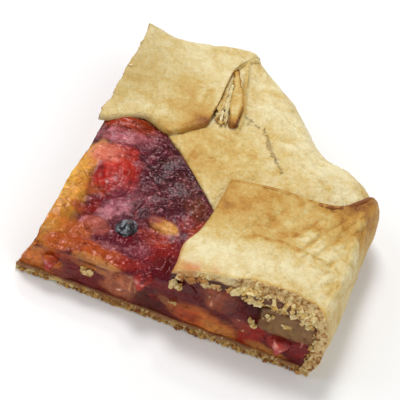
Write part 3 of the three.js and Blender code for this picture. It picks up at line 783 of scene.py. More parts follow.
PINCH_CREASE = [(54.2, 127), (55.2, 121), (56.4, 113.8), (59.0, 102), (60.8, 94.3), (62, 86), (61.6, 80.6)]
MIDDLE_CRACK = [(64.9, 88.7), (70.5, 88.6), (73.6, 84.5), (76.4, 79.3), (80, 74), (83.6, 69.8)]
MIDDLE_LIFT = [(62, 128), (64, 112), (66, 96)]
MIDDLE_FOLDS = [(108, 74, 16, 1.0), (92, 84, 14, 0.8), (76, 100, 14, 0.6)]
MIDDLE_BROWN = [(56, 128, 6, 0.3), (121, 76, 7, 0.3), (46, 70, 14, 0.14), (56, 60, 14, 0.14)]


def middle_flap():
    """The flap behind, folded first, whose ends lie under the other two."""
    params, quads = box_shell([spaced(190), spaced(220), spaced(8)])
    a, u, t = params.T
    mesh = Mesh(MIDDLE_FLAP.rounded(a, u, t), quads)
    p = mesh.points.copy()
    outer = 1 - smooth(t, 0, 0.25)
    over = smooth(p[:, 2], 20, 26)
    pinch = beside(p, PINCH_CREASE, 1.1, 0.3)
    crack = beside(p, MIDDLE_CRACK, 0.45, 1.3) * smooth(noise(p, 5, 15), -0.5, 0.1)
    lifted = beside(p, MIDDLE_LIFT, 5)
    folded = ridges(turned(p + 1.5 * noise(p, 7, 13)[:, None], -20, 2.2), 5, 2, 16) - 0.55
    in_folds = over * np.clip(spots(p, MIDDLE_FOLDS), 0, 1)
    raised = dough_relief(p, 12) + 1.1 * in_folds * folded
    relief = outer * (raised + over * (0.8 * lifted - 1.7 * pinch - 0.5 * crack))
    mesh.push(relief).above(ABOVE_TABLE)
    brown = 0.24 + 0.14 * layers(p, 16, 3, 19) + 0.2 * raised + spots(p, MIDDLE_BROWN)
    # browner along the pinch crease: partly browning, partly painted shade
    brown += 0.3 * over * pinch - 0.16 * smooth(p[:, 0] + p[:, 1], 140, 185)
    edge = smooth(u, 0.985, 0.996) * smooth(t + 0.06 * noise(p, 2, 17), 0.12, 0.3) * smooth(p[:, 0], 28, 34)
    crust_paint(mesh, brown, over * outer, 0.95 * edge)
    mesh.paint["tint"][:] = linear("#44090e")
    return mesh


BACK_BROWN = [
    # the spot at (8, 100) browns the left of the flap, partly as painted shade
    (47, 82, 6, 0.4), (42, 90, 9, 0.2), (8, 100, 20, 0.22), (34, 100, 9, 0.1), (30, 84, 8, 0.12),
    (50, 130, 7, 0.2), (12, 78, 9, 0.06), (24, 112, 14, -0.05),
]
# painted shade: where the left of the back flap is painted greyer and darker
BACK_SHADE_SPOT = [(6, 100, 28, 1)]


def back_flap():
    """The flap at the back left, from its side over the pinch to the left cut."""
    params, quads = box_shell([spaced(170), spaced(210), spaced(12)])
    a, u, t = params.T
    deep = t * BACK_FLAP.thick(a, u)
    round_it = SECTION_LENGTH * u
    inset = 0.35 * np.sin(round_it / 4) + 0.3 * np.sin(round_it / 1.9) - 0.3
    end = cut_at(BACK_FLAP, np.full_like(u, 0.93), u, deep, lambda p: p[:, 0] - left_cut(p[:, 1]) - inset)
    mesh = Mesh(BACK_FLAP.rounded(end * a, u, t, (True, False)), quads)
    p = mesh.points.copy()
    at_cut = a > 1 - 1e-9
    outer = 1 - smooth(t, 0, 0.25)
    raised = dough_relief(p, 22)
    relief = outer * raised + at_cut * crumbly(p, 27)
    mesh.push(relief).above(ABOVE_TABLE)
    side = falling(a * FLAP_LENGTH, 4.5) * smooth(u, 0.35, 0.6)
    fringe = falling((u - 1) * TOP_LENGTH, 2.5) * smooth(p[:, 0], 22, 40)
    brown = 0.14 + 0.2 * raised + 0.3 * side * (1 - 0.6 * smooth(p[:, 1], 100, 120)) + 0.45 * fringe
    brown += spots(p, BACK_BROWN) + 0.14 * layers(p, 12, 3, 29)
    # painted shade: a greyish tint over the left of the flap, darker as if shaded
    painted_shade = 0.5 * spots(p, BACK_SHADE_SPOT) * (1 - at_cut)
    crust_paint(mesh, brown, stain=painted_shade, open_crumb=at_cut)
    mesh.paint["tint"][:] = linear("#a8945e")
    return mesh


TONGUE = Curve([(51.8, 116, 29.8), (53.4, 108, 31.8), (55.4, 101, 32.6), (57.6, 91, 32.6),
                (59.0, 82.6, 30.8)])


def squared(v, power):
    """A sine or cosine raised to a power with its sign kept: 1 is round, and less is squarer."""
    return np.sign(v) * np.abs(v) ** power


def tongue():
    """The pinched tongue: a flat strip, square in section, that widens along its line to a blunt end."""
    directions, faces = blob(int(110 * FINE), int(170 * FINE))
    along = (1 - directions[:, 2]) / 2
    centre = TONGUE.at(along)
    heading = unit(TONGUE.at(along + 0.01) - TONGUE.at(along - 0.01))
    aside = np.stack([heading[:, 1], -heading[:, 0], np.zeros(len(along))], -1)
    turn = np.arctan2(directions[:, 1], directions[:, 0])
    shut = np.clip(1 - np.abs(2 * along - 1) ** 14, 0, 1) ** 0.5
    wobble = 1 + 0.14 * np.sin(11 * along + 1) + 0.1 * np.sin(27 * along)
    wide = lerp(0.9, 2.3, smooth(along, 0, 0.7)) * shut * wobble
    tall = lerp(1.6, 2.2, smooth(along, 0, 0.5)) * shut
    left, up = squared(np.cos(turn), 0.4), squared(np.sin(turn), 0.4)
    points = centre + aside * (wide * left)[:, None]
    points[:, 2] += tall * up * np.where(up < 0, 1.6, 1) - 0.45 * wide * left - 0.4
    mesh = Mesh(points, faces)
    p = mesh.points.copy()
    dished = 0.5 * smooth(up, 0.6, 0.95) * (1 - left ** 2)
    mesh.push(0.6 * layers(p, 3.4, 3, 31) - dished)
    brown = 0.34 + 0.6 * smooth(along, 0.84, 0.97) + 0.5 * (1 - smooth(along, 0.02, 0.14))
    brown += 0.5 * smooth(-left, 0.3, 0.95) + 0.16 * smooth(left, 0.5, 0.95) + 0.2 * layers(p, 5, 2, 33)
    return crust_paint(mesh, brown)


FLAKES = [  # start, end, start height, end height, width, bow to the left, tilt in degrees, how brown
    ((52.0, 114), (53.6, 83), 29.3, 29.4, 6.6, 0.2, 8, 0.45),
    ((52.6, 113), (54.8, 85), 30.6, 31.4, 1.7, 0.6, 58, 0.1),
    ((51.8, 110), (52.2, 84), 30.2, 30.8, 2.2, 0.5, 44, 0.25),
    ((53.0, 107), (56.0, 82.4), 31.2, 30.8, 1.8, 0.5, 64, 0.05),
    ((51.4, 104), (51.6, 87), 30.4, 30.8, 1.8, 0.3, 40, 0.35),
    ((52.6, 101), (53.8, 81.8), 30.8, 30.2, 2.0, 0.3, 34, 0.15),
    ((54.0, 98), (55.0, 86), 31.4, 30.6, 1.4, 0.1, 60, 0.1),
]


def flakes():
    """Thin torn sheets of dough in the open pinch: ribbons along a bowed line, with ragged edges."""
    made = []
    for k, (start, end, low, high, wide, bow, degrees, brown) in enumerate(FLAKES):
        params, quads = box_shell([spaced(70), spaced(10), np.array([0, 0.5, 1.0])])
        a, b, t = params.T
        x = lerp(start[0], end[0], a) - bow * np.sin(np.pi * a) + 0.3 * np.sin(9 * a + k)
        y = lerp(start[1], end[1], a)
        ragged = 1 + 0.35 * np.sin(23 * a + 2 * k) + 0.25 * np.sin(41 * a + k)
        across = (b - 0.5) * wide * ragged * np.sin(np.pi * np.clip(a, 0.02, 0.98)) ** 0.3
        tilt = math.radians(degrees)
        thick = 0.45 * (t - 0.5)
        z = lerp(low, high, a) + across * math.sin(tilt) + thick * math.cos(tilt)
        points = np.stack([x + across * math.cos(tilt) - thick * math.sin(tilt), y, z], -1)
        mesh = Mesh(points, quads)
        p = mesh.points.copy()
        mesh.points += 0.18 * scattered(p, 1.6, 34 + k, 44 + k, 54 + k)
        made.append(crust_paint(mesh, brown + 0.3 * smooth(a, 0.85, 1) + 0.15 * noise(p, 3, 35)))
    return joined(made)


def coons(front, back, left, right, a, b):
    """A patch between four edge curves, each given as points at shares of a or b."""
    corner = [left(0.0), left(1.0), right(0.0), right(1.0)]
    a1, b1 = a[:, None], b[:, None]
    ruled = lerp(front(a), back(a), b1) + lerp(left(b), right(b), a1)
    bilinear = lerp(lerp(corner[0], corner[2], a1), lerp(corner[1], corner[3], a1), b1)
    return ruled - bilinear


BASE_RIM = (380, 60, 60, 300)  # grid lines along the front, right, back and left edge of the base
BASE_RINGS = 24
BASE_LEVELS = 11
BASE_WIDTH = 128
BASE_DEPTH = 120


def slab_skin():
    """
    The skin of a slab as rays: from the middle of its underside out to its rim, up its edge, and in over
    its top. Gives share a along the front, share b along the left and share t up of each point, and faces.
    """
    corners = np.array([(0, 0), (1, 0), (1, 1), (0, 1), (0, 0)], float)
    sides = zip(corners[:-1], corners[1:], BASE_RIM)
    rim = np.vstack([lerp(start, end, spaced(count)[:-1, None]) for start, end, count in sides])
    inwards, levels = spaced(BASE_RINGS, bias=2)[1:-1], spaced(BASE_LEVELS)
    share = np.concatenate([inwards[::-1], 0 * levels, inwards])
    t = np.concatenate([0 * inwards, levels, 0 * inwards + 1])
    plan = lerp(rim[:, None], 0.5, share[:, None])
    params = np.concatenate([plan, np.broadcast_to(t[:, None], (*plan.shape[:2], 1))], -1).reshape(-1, 3)
    return np.vstack([params, [[0.5, 0.5, 1], [0.5, 0.5, 0]]]), ring_faces(len(rim), len(share))


BASE_FRONT = Curve([(0.3, 0), (40, 0), (80, 0), (115.6, 0)])
BASE_RIGHT = Curve([(115.6, 0), (118.3, 16), (120, 45), (121, 66), (118, 78)])
BASE_BACK = Curve([(11.7, 125.4), (24, 123.4), (48.5, 126), (60, 124), (82, 106), (104, 86), (118, 78)])
BASE_LEFT = Curve([(0.3, 0), (1.6, 3), (4.4, 7.5), (5.75, 9.5), (6.25, 20), (8.8, 70), (11.7, 125.4)])


def base():
    """The dough under the filling: a slab with crumbly cut edges in front and on the left."""
    params, faces = slab_skin()
    a, b, t = params.T
    points = coons(BASE_FRONT.at, BASE_BACK.at, BASE_LEFT.at, BASE_RIGHT.at, a, b)
    points[:, 2] = BASE_THICKNESS * t
    mesh = Mesh(points, faces)
    p = mesh.points.copy()
    side = (b < 1e-9) | (a < 1e-9)
    mesh.push(side * (crumbly(p * np.array([1, 1, 1.3]), 41) * 1.3))
    from_edge = np.minimum(a * BASE_WIDTH, b * BASE_DEPTH)
    lifted = np.clip(layers(p, 3.4, 2, 43) + 0.1, 0, 1) * 2.0 * falling(from_edge, 1.2)
    mesh.points[:, 2] += lifted * (1 - t) ** 2
    mesh.above(0)
    brown = 0.1 + 0.3 * t + 0.35 * layers(p, 4, 3, 44)
    stain = 0.85 * smooth(p[:, 2] + layers(p, 4, 2, 45), 0.8, 2.8) * smooth(layers(p, 7, 2, 46), -0.9, -0.2)
    crust_paint(mesh, brown, 0.0, stain)
    mesh.paint["tint"][:] = linear("#86523c")
    return mesh


CRUMB_LINES = [  # the line they lie along, how many, smallest and largest radius, scatter, juice on them
    ([(84, 2.8, 34.2), (92, 3.6, 34.2), (102, 3.5, 33.8), (110, 2.8, 32.6), (115, 1.8, 30.6)],
     120, 0.3, 1.2, 0.7, 0),
    ([(84, 1.6, 32.6), (92, 2.0, 32.6), (102, 1.9, 32.2), (111, 1.5, 31.0), (115.4, 1.0, 28.8)],
     130, 0.35, 1.5, 0.9, 0),
    ([(80, 0.8, 31.4), (90, 1.0, 31.4), (100, 1.0, 30.8), (108, 0.9, 29.8), (114, 0.7, 27.4)],
     120, 0.3, 1.2, 0.7, 0.05),
    ([(84, 2.4, 33.2), (95, 3.4, 33.2), (106, 3.0, 32.4), (114, 1.6, 29.4)], 60, 0.3, 0.7, 1.2, 0),
    ([(85, 0.8, 30.6), (89, 0.8, 29.6), (94, 0.8, 30.4)], 26, 0.7, 1.3, 0.5, 0),
    ([(60, 0.6, 28.0), (67, 0.5, 29.4), (75, 0.5, 30.2), (81, 0.6, 30.8)], 44, 0.4, 1.2, 0.5, 0.3),
    ([(68, 1.2, 32.0), (75, 1.8, 32.8), (81, 2.2, 33.2)], 36, 0.3, 0.8, 0.4, 0.1),
    ([(116.8, 0.5, 25), (117.4, 0.3, 14), (117.2, 0.3, 5)], 60, 0.2, 0.55, 0.6, 0.05),
    ([(2, 0.2, 0.9), (40, 0.0, 0.9), (80, 0.0, 0.9), (119, 0.0, 0.9)], 330, 0.25, 0.75, 0.5, 0),
    ([(6, 0.2, 2.6), (40, 0.2, 2.6), (80, 0.2, 2.6), (117, 0.2, 2.6)], 150, 0.2, 0.6, 0.5, 0.1),
    ([(4.6, 9, 0.9), (5.8, 40, 0.9), (8.0, 80, 0.9), (10.6, 122, 0.9)], 260, 0.25, 0.75, 0.5, 0),
    ([(10, 76, 26), (11.4, 100, 28), (12.2, 122, 26)], 60, 0.25, 0.6, 0.5, 0.05),
]
CRUMBS_ALONE = [  # place on the front cut, radius, how many lumps, juice on them
    ((26.6, -0.4, 12.9), 1.2, 14, 0.15), ((28.8, -0.4, 12.8), 1.1, 14, 0.15),
    ((59.8, -0.4, 23.8), 1.3, 14, 0.15), ((61.8, -0.3, 23.4), 1.2, 12, 0.1),
    ((72.1, 0.2, 29.4), 1.3, 8, 0.1), ((61.2, -0.3, 13.4), 0.6, 4, 0.2), ((62.6, -0.3, 13.9), 0.8, 4, 0.2),
    ((92.4, -0.2, 19.4), 1.0, 10, 0), ((93.8, -0.4, 17.8), 1.1, 10, 0), ((98.2, 0.6, 23.9), 0.9, 6, 0),
    ((99.4, 0.6, 24.8), 0.7, 4, 0), ((96.6, 0.6, 22.3), 0.5, 2, 0), ((98.6, 1.2, 28.2), 0.9, 6, 0.1),
    ((101.6, 1.0, 28.8), 0.9, 6, 0.1), ((105.4, 0.3, 22.0), 1.0, 8, 0), ((106.8, 0.3, 22.8), 0.8, 4, 0),
    ((74.6, -0.2, 24.0), 0.6, 4, 0.6), ((90.2, -0.2, 12.0), 0.5, 4, 0.5),
]


def crumbs():
    """
    Broken bits of dough: sphere directions raised to the power 0.5 to square them, times 1 + 0.8 of a noise,
    each stretched, turned at random and set along its line. All are worked out as one array.
    """
    random = np.random.default_rng(7)
    directions, faces = blob(8, 6)
    places, radii, juice = [], [], []
    for line, count, least, most, scatter, wet in CRUMB_LINES:
        on_line = Curve(line).at(random.random(count))
        places.append(on_line + scatter * random.normal(size=(count, 3)) * [1, 0.5, 0.7])
        radii.append(least + (most - least) * random.random(count) ** 2)
        juice.append(np.full(count, wet))
    for at, radius, count, wet in CRUMBS_ALONE:
        places.append(np.array(at) + 0.6 * radius * random.normal(size=(count, 3)) * [1, 0.4, 1])
        radii.append(radius * (0.3 + 0.35 * random.random(count)))
        juice.append(np.full(count, wet))
    place, radius, wet = np.vstack(places), np.concatenate(radii), np.concatenate(juice)
    place[:, 2] = np.maximum(place[:, 2], radius)
    count = len(place)
    axes = np.linalg.qr(random.normal(size=(count, 3, 3)))[0]
    axes *= np.linalg.det(axes)[:, None, None]
    stretch = radius[:, None] * (0.75 + 0.6 * random.random((count, 3)))
    lumpy = 1 + 0.8 * noise(directions[None] * 1.3 + 9 * random.random((count, 1, 3)), 1.0, 95)
    local = squared(directions, 0.5)[None] * lumpy[..., None] * stretch[:, None, :]
    shapes = np.einsum("nij,npj->npi", axes, local)
    points = (shapes + place[:, None, :]).reshape(-1, 3)
    points[:, 2] = np.maximum(points[:, 2], 0)
    offsets = np.arange(count)[:, None, None] * len(directions)
    mesh = Mesh(points, (faces[None] + offsets).reshape(-1, 3))
    each = np.repeat(np.stack([random.random(count), wet], -1), len(directions), 0)
    low = 0.35 * (1 - smooth(points[:, 2], 2.6, 4))
    brown = 0.9 * each[:, 0] ** 1.5 - 0.05 + low
    return crust_paint(mesh, brown, 0.0, np.clip(each[:, 1] * (0.5 + each[:, 0]) + 0.5 * low, 0, 1))


add_piece("right_flap", right_flap(), DOUGH, "dough", ["crust"])
add_piece("middle_flap", middle_flap(), DOUGH, "dough")
add_piece("back_flap", back_flap(), DOUGH, "dough")
add_piece("tongue", tongue(), DOUGH, "dough")
add_piece("flakes", flakes(), DOUGH, "dough")
add_piece("crumbs", crumbs(), BROKEN, "dough", smooth_shaded=False)
add_piece("base", base(), BROKEN, "dough")

# ---------------------------------------------------------------- filling

PIECES = {  # centre, size, turn, squareness, own colour, share of the own colour, slot, sideways bend
    "dark_berry": ((35.8, 20.8, 18.8), (9.2, 8.8, 9), 0, 1, "#26282e", 1.0, "dark_berry", 0),
    "apple_bit_gold": ((48.4, 25.3, 21.6), (13.5, 7.5, 6.5), -16, 0.8, "#c48c48", 0.0, "gold_apple", 0),
    "cranberry_top_pale": ((24, 17.2, 18), (9.6, 9, 9), 20, 1, "#a85a4c", 0.3, "cranberry", 0),
    "cranberry_top_back": ((36, 61, 21.6), (11, 9.5, 9), 40, 1, "#4a0c18", 0.5, "cranberry", 0),
    "apple_slice_gold": ((8.4, 29, 15.6), (54, 19.5, 13), 88, 0.7, "#c08a3c", 0.0, "gold_apple", -1),
    "apple_slice_red": ((22.8, 45.5, 20.2), (26, 17, 9.2), 95, 0.8, "#a83020", 0.0, "red_apple", 0),
    "apple_strip_back": ((20.5, 69.5, 22.8), (20, 9, 8), 15, 0.8, "#9a4a1e", 0.0, "amber_apple", 0),
    "apple_slice_front": ((27.5, 4.5, 15.6), (27, 11, 7.5), 2, 0.6, "#a05a2c", 0.0, "amber_apple", 0),
    "cranberry_drip_left": ((12.8, 0.6, 10.2), (7, 6, 9), 0, 0.9, "#a41a10", 0.8, "cranberry", 0),
    "cranberry_drip_middle": ((48.5, 1, 18.4), (8.5, 7.4, 9.6), 0, 0.9, "#b02410", 0.75, "cranberry", 0),
    "cranberry_cut_red": ((105.6, 1.2, 10), (8.5, 7.4, 9.4), 0, 0.95, "#b44440", 0.6, "cranberry", 0),
    "cranberry_cut_right": ((113, 2.6, 11.6), (8.4, 10, 10), 0, 1, "#6c1616", 0.6, "cranberry", 0),
    "cranberry_cut_streak": ((95.3, 2.4, 9.6), (10, 9, 9), 0, 1, "#8a2420", 0.0, "cranberry", 0),
    "cranberry_cut_left": ((21, 2.2, 8), (9.2, 9.6, 7), 0, 1, "#6c1818", 0.2, "cranberry", 0),
    "cranberry_cut_middle": ((64.8, 2, 20.8), (9, 9.6, 9), 0, 1, "#541416", 0.2, "cranberry", 0),
    "apple_chunk_cut_left": ((42.2, 5, 10.2), (13.4, 14, 12), 4, 0.75, "#804024", 0.0, "amber_apple", 0),
    "apple_chunk_cut_middle": ((79.2, 6, 22.4), (15.6, 16, 15), -4, 0.7, "#7e402a", 0.0, "amber_apple", 0),
    "apple_chunk_cut_right": ((106, 6.5, 21.8), (22.6, 17, 13.2), 0, 0.55, "#80643a", 0.6, "olive_apple", 0),
    "apple_slice_cut_low": ((76.6, 4.5, 9.2), (29, 14, 10.4), 2, 0.65, "#a0602c", 0.0, "gold_apple", 0),
    "apple_slice_cut_floor": ((102, 5, 6), (14, 12, 3), 0, 0.7, "#b08848", 0.2, "amber_apple", 0),
    "apple_slice_tip": ((7.2, 4, 9.7), (17, 9, 10.4), 8, 0.7, "#9c5a2c", 0.0, "amber_apple", 0),
    "apple_slice_left_low": ((9.4, 40, 6.9), (26, 12, 4.8), 92, 0.6, "#b0783a", 0.3, "gold_apple", 0),
    "cranberry_left_near": ((7, 21, 6.8), (8.6, 9.4, 4.4), 0, 1, "#6a1418", 0.6, "cranberry", 0),
    "cranberry_left_middle": ((9.2, 63, 14.6), (9, 9.4, 9), 0, 1, "#6a1418", 0.5, "cranberry", 0),
    "apple_chunk_left_far": ((12.5, 96, 16), (26, 15, 12.5), 90, 0.6, "#96552c", 0.3, "amber_apple", 0),
    "apple_slice_left_floor": ((11.2, 79, 7.4), (25, 12, 6), 92, 0.6, "#a87038", 0.3, "gold_apple", 0),
    "cranberry_left_far": ((11.8, 116, 13), (9.4, 9, 9), 0, 1, "#6a1418", 0.6, "cranberry", 0),
}


def filling_height(x, y):
    """Height of the open filling, the same as the part's, with finer swells."""
    back, rise = smooth(y, 8, 70), smooth(x, 30, 60)
    risen = 19.4 + 6.2 * back + 5.2 * rise * (1 - 0.55 * back)
    droop = 1.6 * (1 - smooth(y, 0, 5)) + 2.6 * (1 - smooth(x - left_cut(y), 0, 5))
    return risen - droop + 0.5 * swell(1.6 * x, 1.6 * y)


MIDDLE_EDGE = [(74, 27.5), (62.1, 41), (50, 54.9), (40.7, 64.5), (33.4, 71.6), (24, 80.5)]
RIGHT_EDGE = ([-3, 15, 33, 52], [57.8, 58.4, 64.2, 66.4])  # y, and the x of the right flap's free edge
BACK_EDGE = ([2, 11, 24.5, 36, 49], [65, 66.6, 73.6, 69.8, 80])  # x, and the y of the back flap's
UNDER_CRUST = ([56, 60, 66, 74, 82, 90, 97, 103, 112, 120],
               [24.6, 27.6, 29.5, 30, 31.3, 31.5, 31.5, 30.5, 30, 29])  # x, and the filling's top in front
UNDER_BACK_FLAP = 25.5
SUNK = {  # fruit on top: how far it stands out of the skin that the jelly draws up round it, in mm
    "apple_bit_gold": 0.3, "cranberry_top_pale": 0.15, "cranberry_top_back": 0.15, "apple_slice_gold": 0.15,
    "apple_slice_red": 0.15, "apple_strip_back": 0.15, "apple_slice_front": 0.15, "dark_berry": 3.2,
}


def soft_floor(value, limit, softness):
    """The larger of two values, with the corner between them rounded."""
    return limit + softness * np.logaddexp(0, (value - limit) / softness)


def drawn_up(x, y, height):
    """The jelly's height where it climbs the fruit: a soft maximum of its own height and each fruit's top."""
    for name, stands_out in SUNK.items():
        at, size, turn, square = PIECES[name][:4]
        c, s = cos_sin(turn)
        u = ((x - at[0]) * c + (y - at[1]) * s) / (size[0] / 2)
        v = (-(x - at[0]) * s + (y - at[1]) * c) / (size[1] / 2)
        spread = np.abs(u) ** (2 / square) + np.abs(v) ** (2 / square)
        inside = np.clip(1 - spread, 0, 1)
        top = at[2] + size[2] / 2 * inside ** (square / 2) - stands_out - 9 * np.maximum(spread - 1, 0)
        height = soft_floor(top - 0.35, height, 0.5)
    return height


def surface_height(x, y):
    """The filling's height everywhere: open, or up to the dough where a flap lies over it."""
    open_height = drawn_up(x, y, filling_height(x, y))
    open_height = lerp(open_height, np.minimum(open_height, 21), smooth(past(x, y, MIDDLE_EDGE), 0.2, 3))
    right = smooth(x - np.interp(y, *RIGHT_EDGE), -2, 3) * (1 - smooth(y, 40, 50))
    back = smooth(y - np.interp(x, *BACK_EDGE), -1, 3) * (1 - smooth(x, 45, 60))
    return lerp(lerp(open_height, np.interp(x, *UNDER_CRUST), right), UNDER_BACK_FLAP, back)


def front_relief(x, z):
    """How far the front of the filling stands out of the cut, in mm: less than 0 is sunk."""
    hollow = bump(x, 93, 10) * bump(z, 27, 11)
    p = np.stack([x, 0 * x, z], -1)
    return (-5.2 * hollow - 0.5 + 0.7 * layers(p, 7, 2, 51) + 0.25 * layers(p, 2.4, 2, 52)
            - 1.2 * bump(z, 22, 5) * bump(x, 68, 9) - 0.8 * bump(x, 54, 5) * bump(z, 9, 6))


def left_relief(y, z):
    p = np.stack([0 * y, y, z], -1)
    lumps = 0.6 * layers(p, 8, 2, 53) + 0.25 * layers(p, 2.4, 2, 54)
    return lumps - 0.4 - 0.9 * smooth(y, 66, 76) - 0.9 * bump(y, 58, 16)


STREAKS = [  # where the streaks of the skin run: x, y, reach, direction in degrees, width of a streak
    (57, 40, 13, -46, 1.0),
    (44, 50, 15, -38, 1.3),
    (33, 34, 11, 62, 1.1),
    (50, 34, 9, -70, 1.2),
    (24, 42, 10, 100, 1.6),
    (10, 30, 12, 20, 1.8),
    (28, 62, 12, 12, 1.6),
    (26, 22, 9, 30, 1.5),
    (50, 14, 10, -62, 1.7),
    (22, 7, 10, 8, 1.6),
]


def up_the_toe(z):
    """From 0 at the top of the base to 1 where the sagging toe ends."""
    return np.clip((z - BASE_THICKNESS) / (TOE_HEIGHT - BASE_THICKNESS), 0, 1)


def streaks(p):
    """From 0 to 1: fine streaks, sharp at the crest, that run as the nearest places in STREAKS say."""
    bent = p + 0.9 * scattered(p, 5, 61, 62, None)
    total, weights = 0, 1e-9
    for k, (x, y, reach, degrees, width) in enumerate(STREAKS):
        weight = np.exp(-3 * ((p[:, 0] - x) ** 2 + (p[:, 1] - y) ** 2) / reach ** 2) + 1e-6
        total = total + weight * ridges(turned(bent, degrees, 6), 1.1 * width, 2, 63 + 11 * k)
        weights = weights + weight
    return total / weights


def wrinkles(p):
    """The skin of the open filling in mm: streaks of uneven depth, soft lumps, and beads near the front."""
    strength = 0.6 + 0.4 * noise(p, 9, 67)
    streaky = 0.42 * strength * (1 - 0.85 * beaded(p)) * (streaks(p) - 0.55)
    beads = 1.3 * beaded(p) * (np.abs(layers(p, 3.0, 2, 68)) - 0.2)
    return streaky + 0.42 * layers(p, 6, 2, 66) + beads


def beaded(p):
    """From 0 to 1: where the skin is beaded rather than streaky."""
    return 1 - smooth(p[:, 1] + 3 * noise(p, 8, 69), 12, 20)


POLE = np.array([35.8, 20.8])
FILLING_PLAN = Curve([(117.5, 0.3), (80, 0.3), (40, 0.3), (3, 0.3), (0.9, 1.0), (1.7, 3), (4.2, 7), (5.9, 10),
                      (6.4, 20), (9.3, 70), (12.9, 127), (16, 127), (30, 100), (52, 80), (76, 52), (96, 26),
                      (117, 9), (117.5, 0.3)], 200)
FILLING_GRID = (700, 54, 9, 78)  # rays, levels up the side, rings round the shoulder, rings over the top
FILLING_FOOT = 2.6
SHOULDER_RADIUS = 1.6
HIDDEN_FINENESS = 0.25  # rings of a ray under dough, as a share of those on as long a bare stretch
RIM_MARGIN = 6  # mm from the rim that stay fine under dough
EDGE_MARGIN = 3  # mm under a flap's free edge that stay fine
HIDDEN_PAST = 90  # x + y of the plan past which its line is inside the crust


def ring_shares(rim, count):
    """Shares of each ray, from the rim to the pole, at which its rings lie: fewer where dough hides them."""
    share = np.linspace(0, 1, 240)
    x, y = (lerp(rim[:, k:k + 1], POLE[k], share) for k in (0, 1))
    under_right, under_back = x - np.interp(y, *RIGHT_EDGE), y - np.interp(x, *BACK_EDGE)
    under = np.maximum(past(x, y, MIDDLE_EDGE), np.maximum(under_right, under_back))
    near_rim = share * np.linalg.norm(rim - POLE, axis=1)[:, None] < RIM_MARGIN
    density = np.where((under < EDGE_MARGIN) | near_rim, 1, HIDDEN_FINENESS)
    reached = np.cumsum(density, axis=1) - density
    reached = reached / (reached[:, -1:] + 1)
    wanted = np.linspace(0, 1, count, endpoint=False)
    k = np.clip((reached[:, :, None] <= wanted).sum(1) - 1, 0, len(share) - 2)
    low, high = (np.take_along_axis(reached, k + step, 1) for step in (0, 1))
    return (k + np.clip((wanted - low) / (high - low), 0, 1)) / (len(share) - 1)


def filling():
    """
    The filling as rays from one point of the top, out to the edge of its plan, over a rounded shoulder and
    down. Plan: the front cut, the sagging toe, the left cut, and a line hidden behind the flaps' edges.
    """
    rays, down, shoulder, across = (int(n * FINE) for n in FILLING_GRID)
    line = FILLING_PLAN.line
    weight = np.where((line[:, 0] + line[:, 1] > HIDDEN_PAST) & (line[:, 1] > 9), 0.5, 1.0)
    gaps = np.linalg.norm(np.diff(line, axis=0), axis=1) * weight[1:]
    spread = np.concatenate([[0], np.cumsum(gaps)]) / gaps.sum()
    at = np.linspace(0, 1, rays, endpoint=False)
    rim = np.stack([np.interp(at, spread, line[:, k]) for k in (0, 1)], -1)
    heading = POLE - rim
    span = np.linalg.norm(heading, axis=1)
    heading /= span[:, None]
    along = unit(np.roll(rim, -1, 0) - np.roll(rim, 1, 0))
    out = np.stack([along[:, 1], -along[:, 0]], -1)
    out *= -np.sign((out * heading).sum(1))[:, None]
    reach = 1.5 * SHOULDER_RADIUS
    inner = rim + heading * reach
    side_top = surface_height(inner[:, 0], inner[:, 1])[:, None] - SHOULDER_RADIUS
    z_side = lerp(FILLING_FOOT, side_top, np.linspace(0, 1, down, endpoint=False))
    turn = np.linspace(0, np.pi / 2, shoulder, endpoint=False)
    z_turn = side_top + SHOULDER_RADIUS * np.sin(turn)
    d_turn = np.broadcast_to(reach * (1 - np.cos(turn)), (rays, shoulder))
    d_top = lerp(reach, span[:, None], ring_shares(inner, across))
    distance = np.concatenate([np.zeros_like(z_side), d_turn, d_top], 1)
    x = rim[:, :1] + heading[:, :1] * distance
    y = rim[:, 1:] + heading[:, 1:] * distance
    z = np.concatenate([z_side, z_turn, surface_height(x[:, down + shoulder:], y[:, down + shoulder:])], 1)
    x = x + np.clip(left_cut(y) - x, 0, 10) * up_the_toe(z) * (y < TOE_LENGTH + 1)
    up = np.concatenate([np.zeros(down), np.sin(turn) ** 2, np.ones(across)])[None] * np.ones((rays, 1))
    columns = up.shape[1]
    p = np.stack([x, y, z], -1).reshape(-1, 3)
    flat = up.reshape(-1)
    is_front = np.repeat(np.abs(out[:, 1]) > 0.8, columns)
    side = np.where(is_front, front_relief(p[:, 0], p[:, 2]), left_relief(p[:, 1], p[:, 2]))
    hidden = np.repeat((rim[:, 0] + rim[:, 1] > HIDDEN_PAST) & (rim[:, 1] > 8), columns)
    side = np.where(hidden, 0, side)
    outward = np.repeat(np.concatenate([out, np.zeros((rays, 1))], 1), columns, 0)
    p += outward * (side * (1 - flat))[:, None]
    p[:, 2] += flat * wrinkles(p) * (1 - smooth(p[:, 1], 78, 90))
    poles = [[*POLE, surface_height(*POLE[:, None])[0]], [40, 35, FILLING_FOOT]]
    return Mesh(np.vstack([p, poles]), ring_faces(rays, columns))


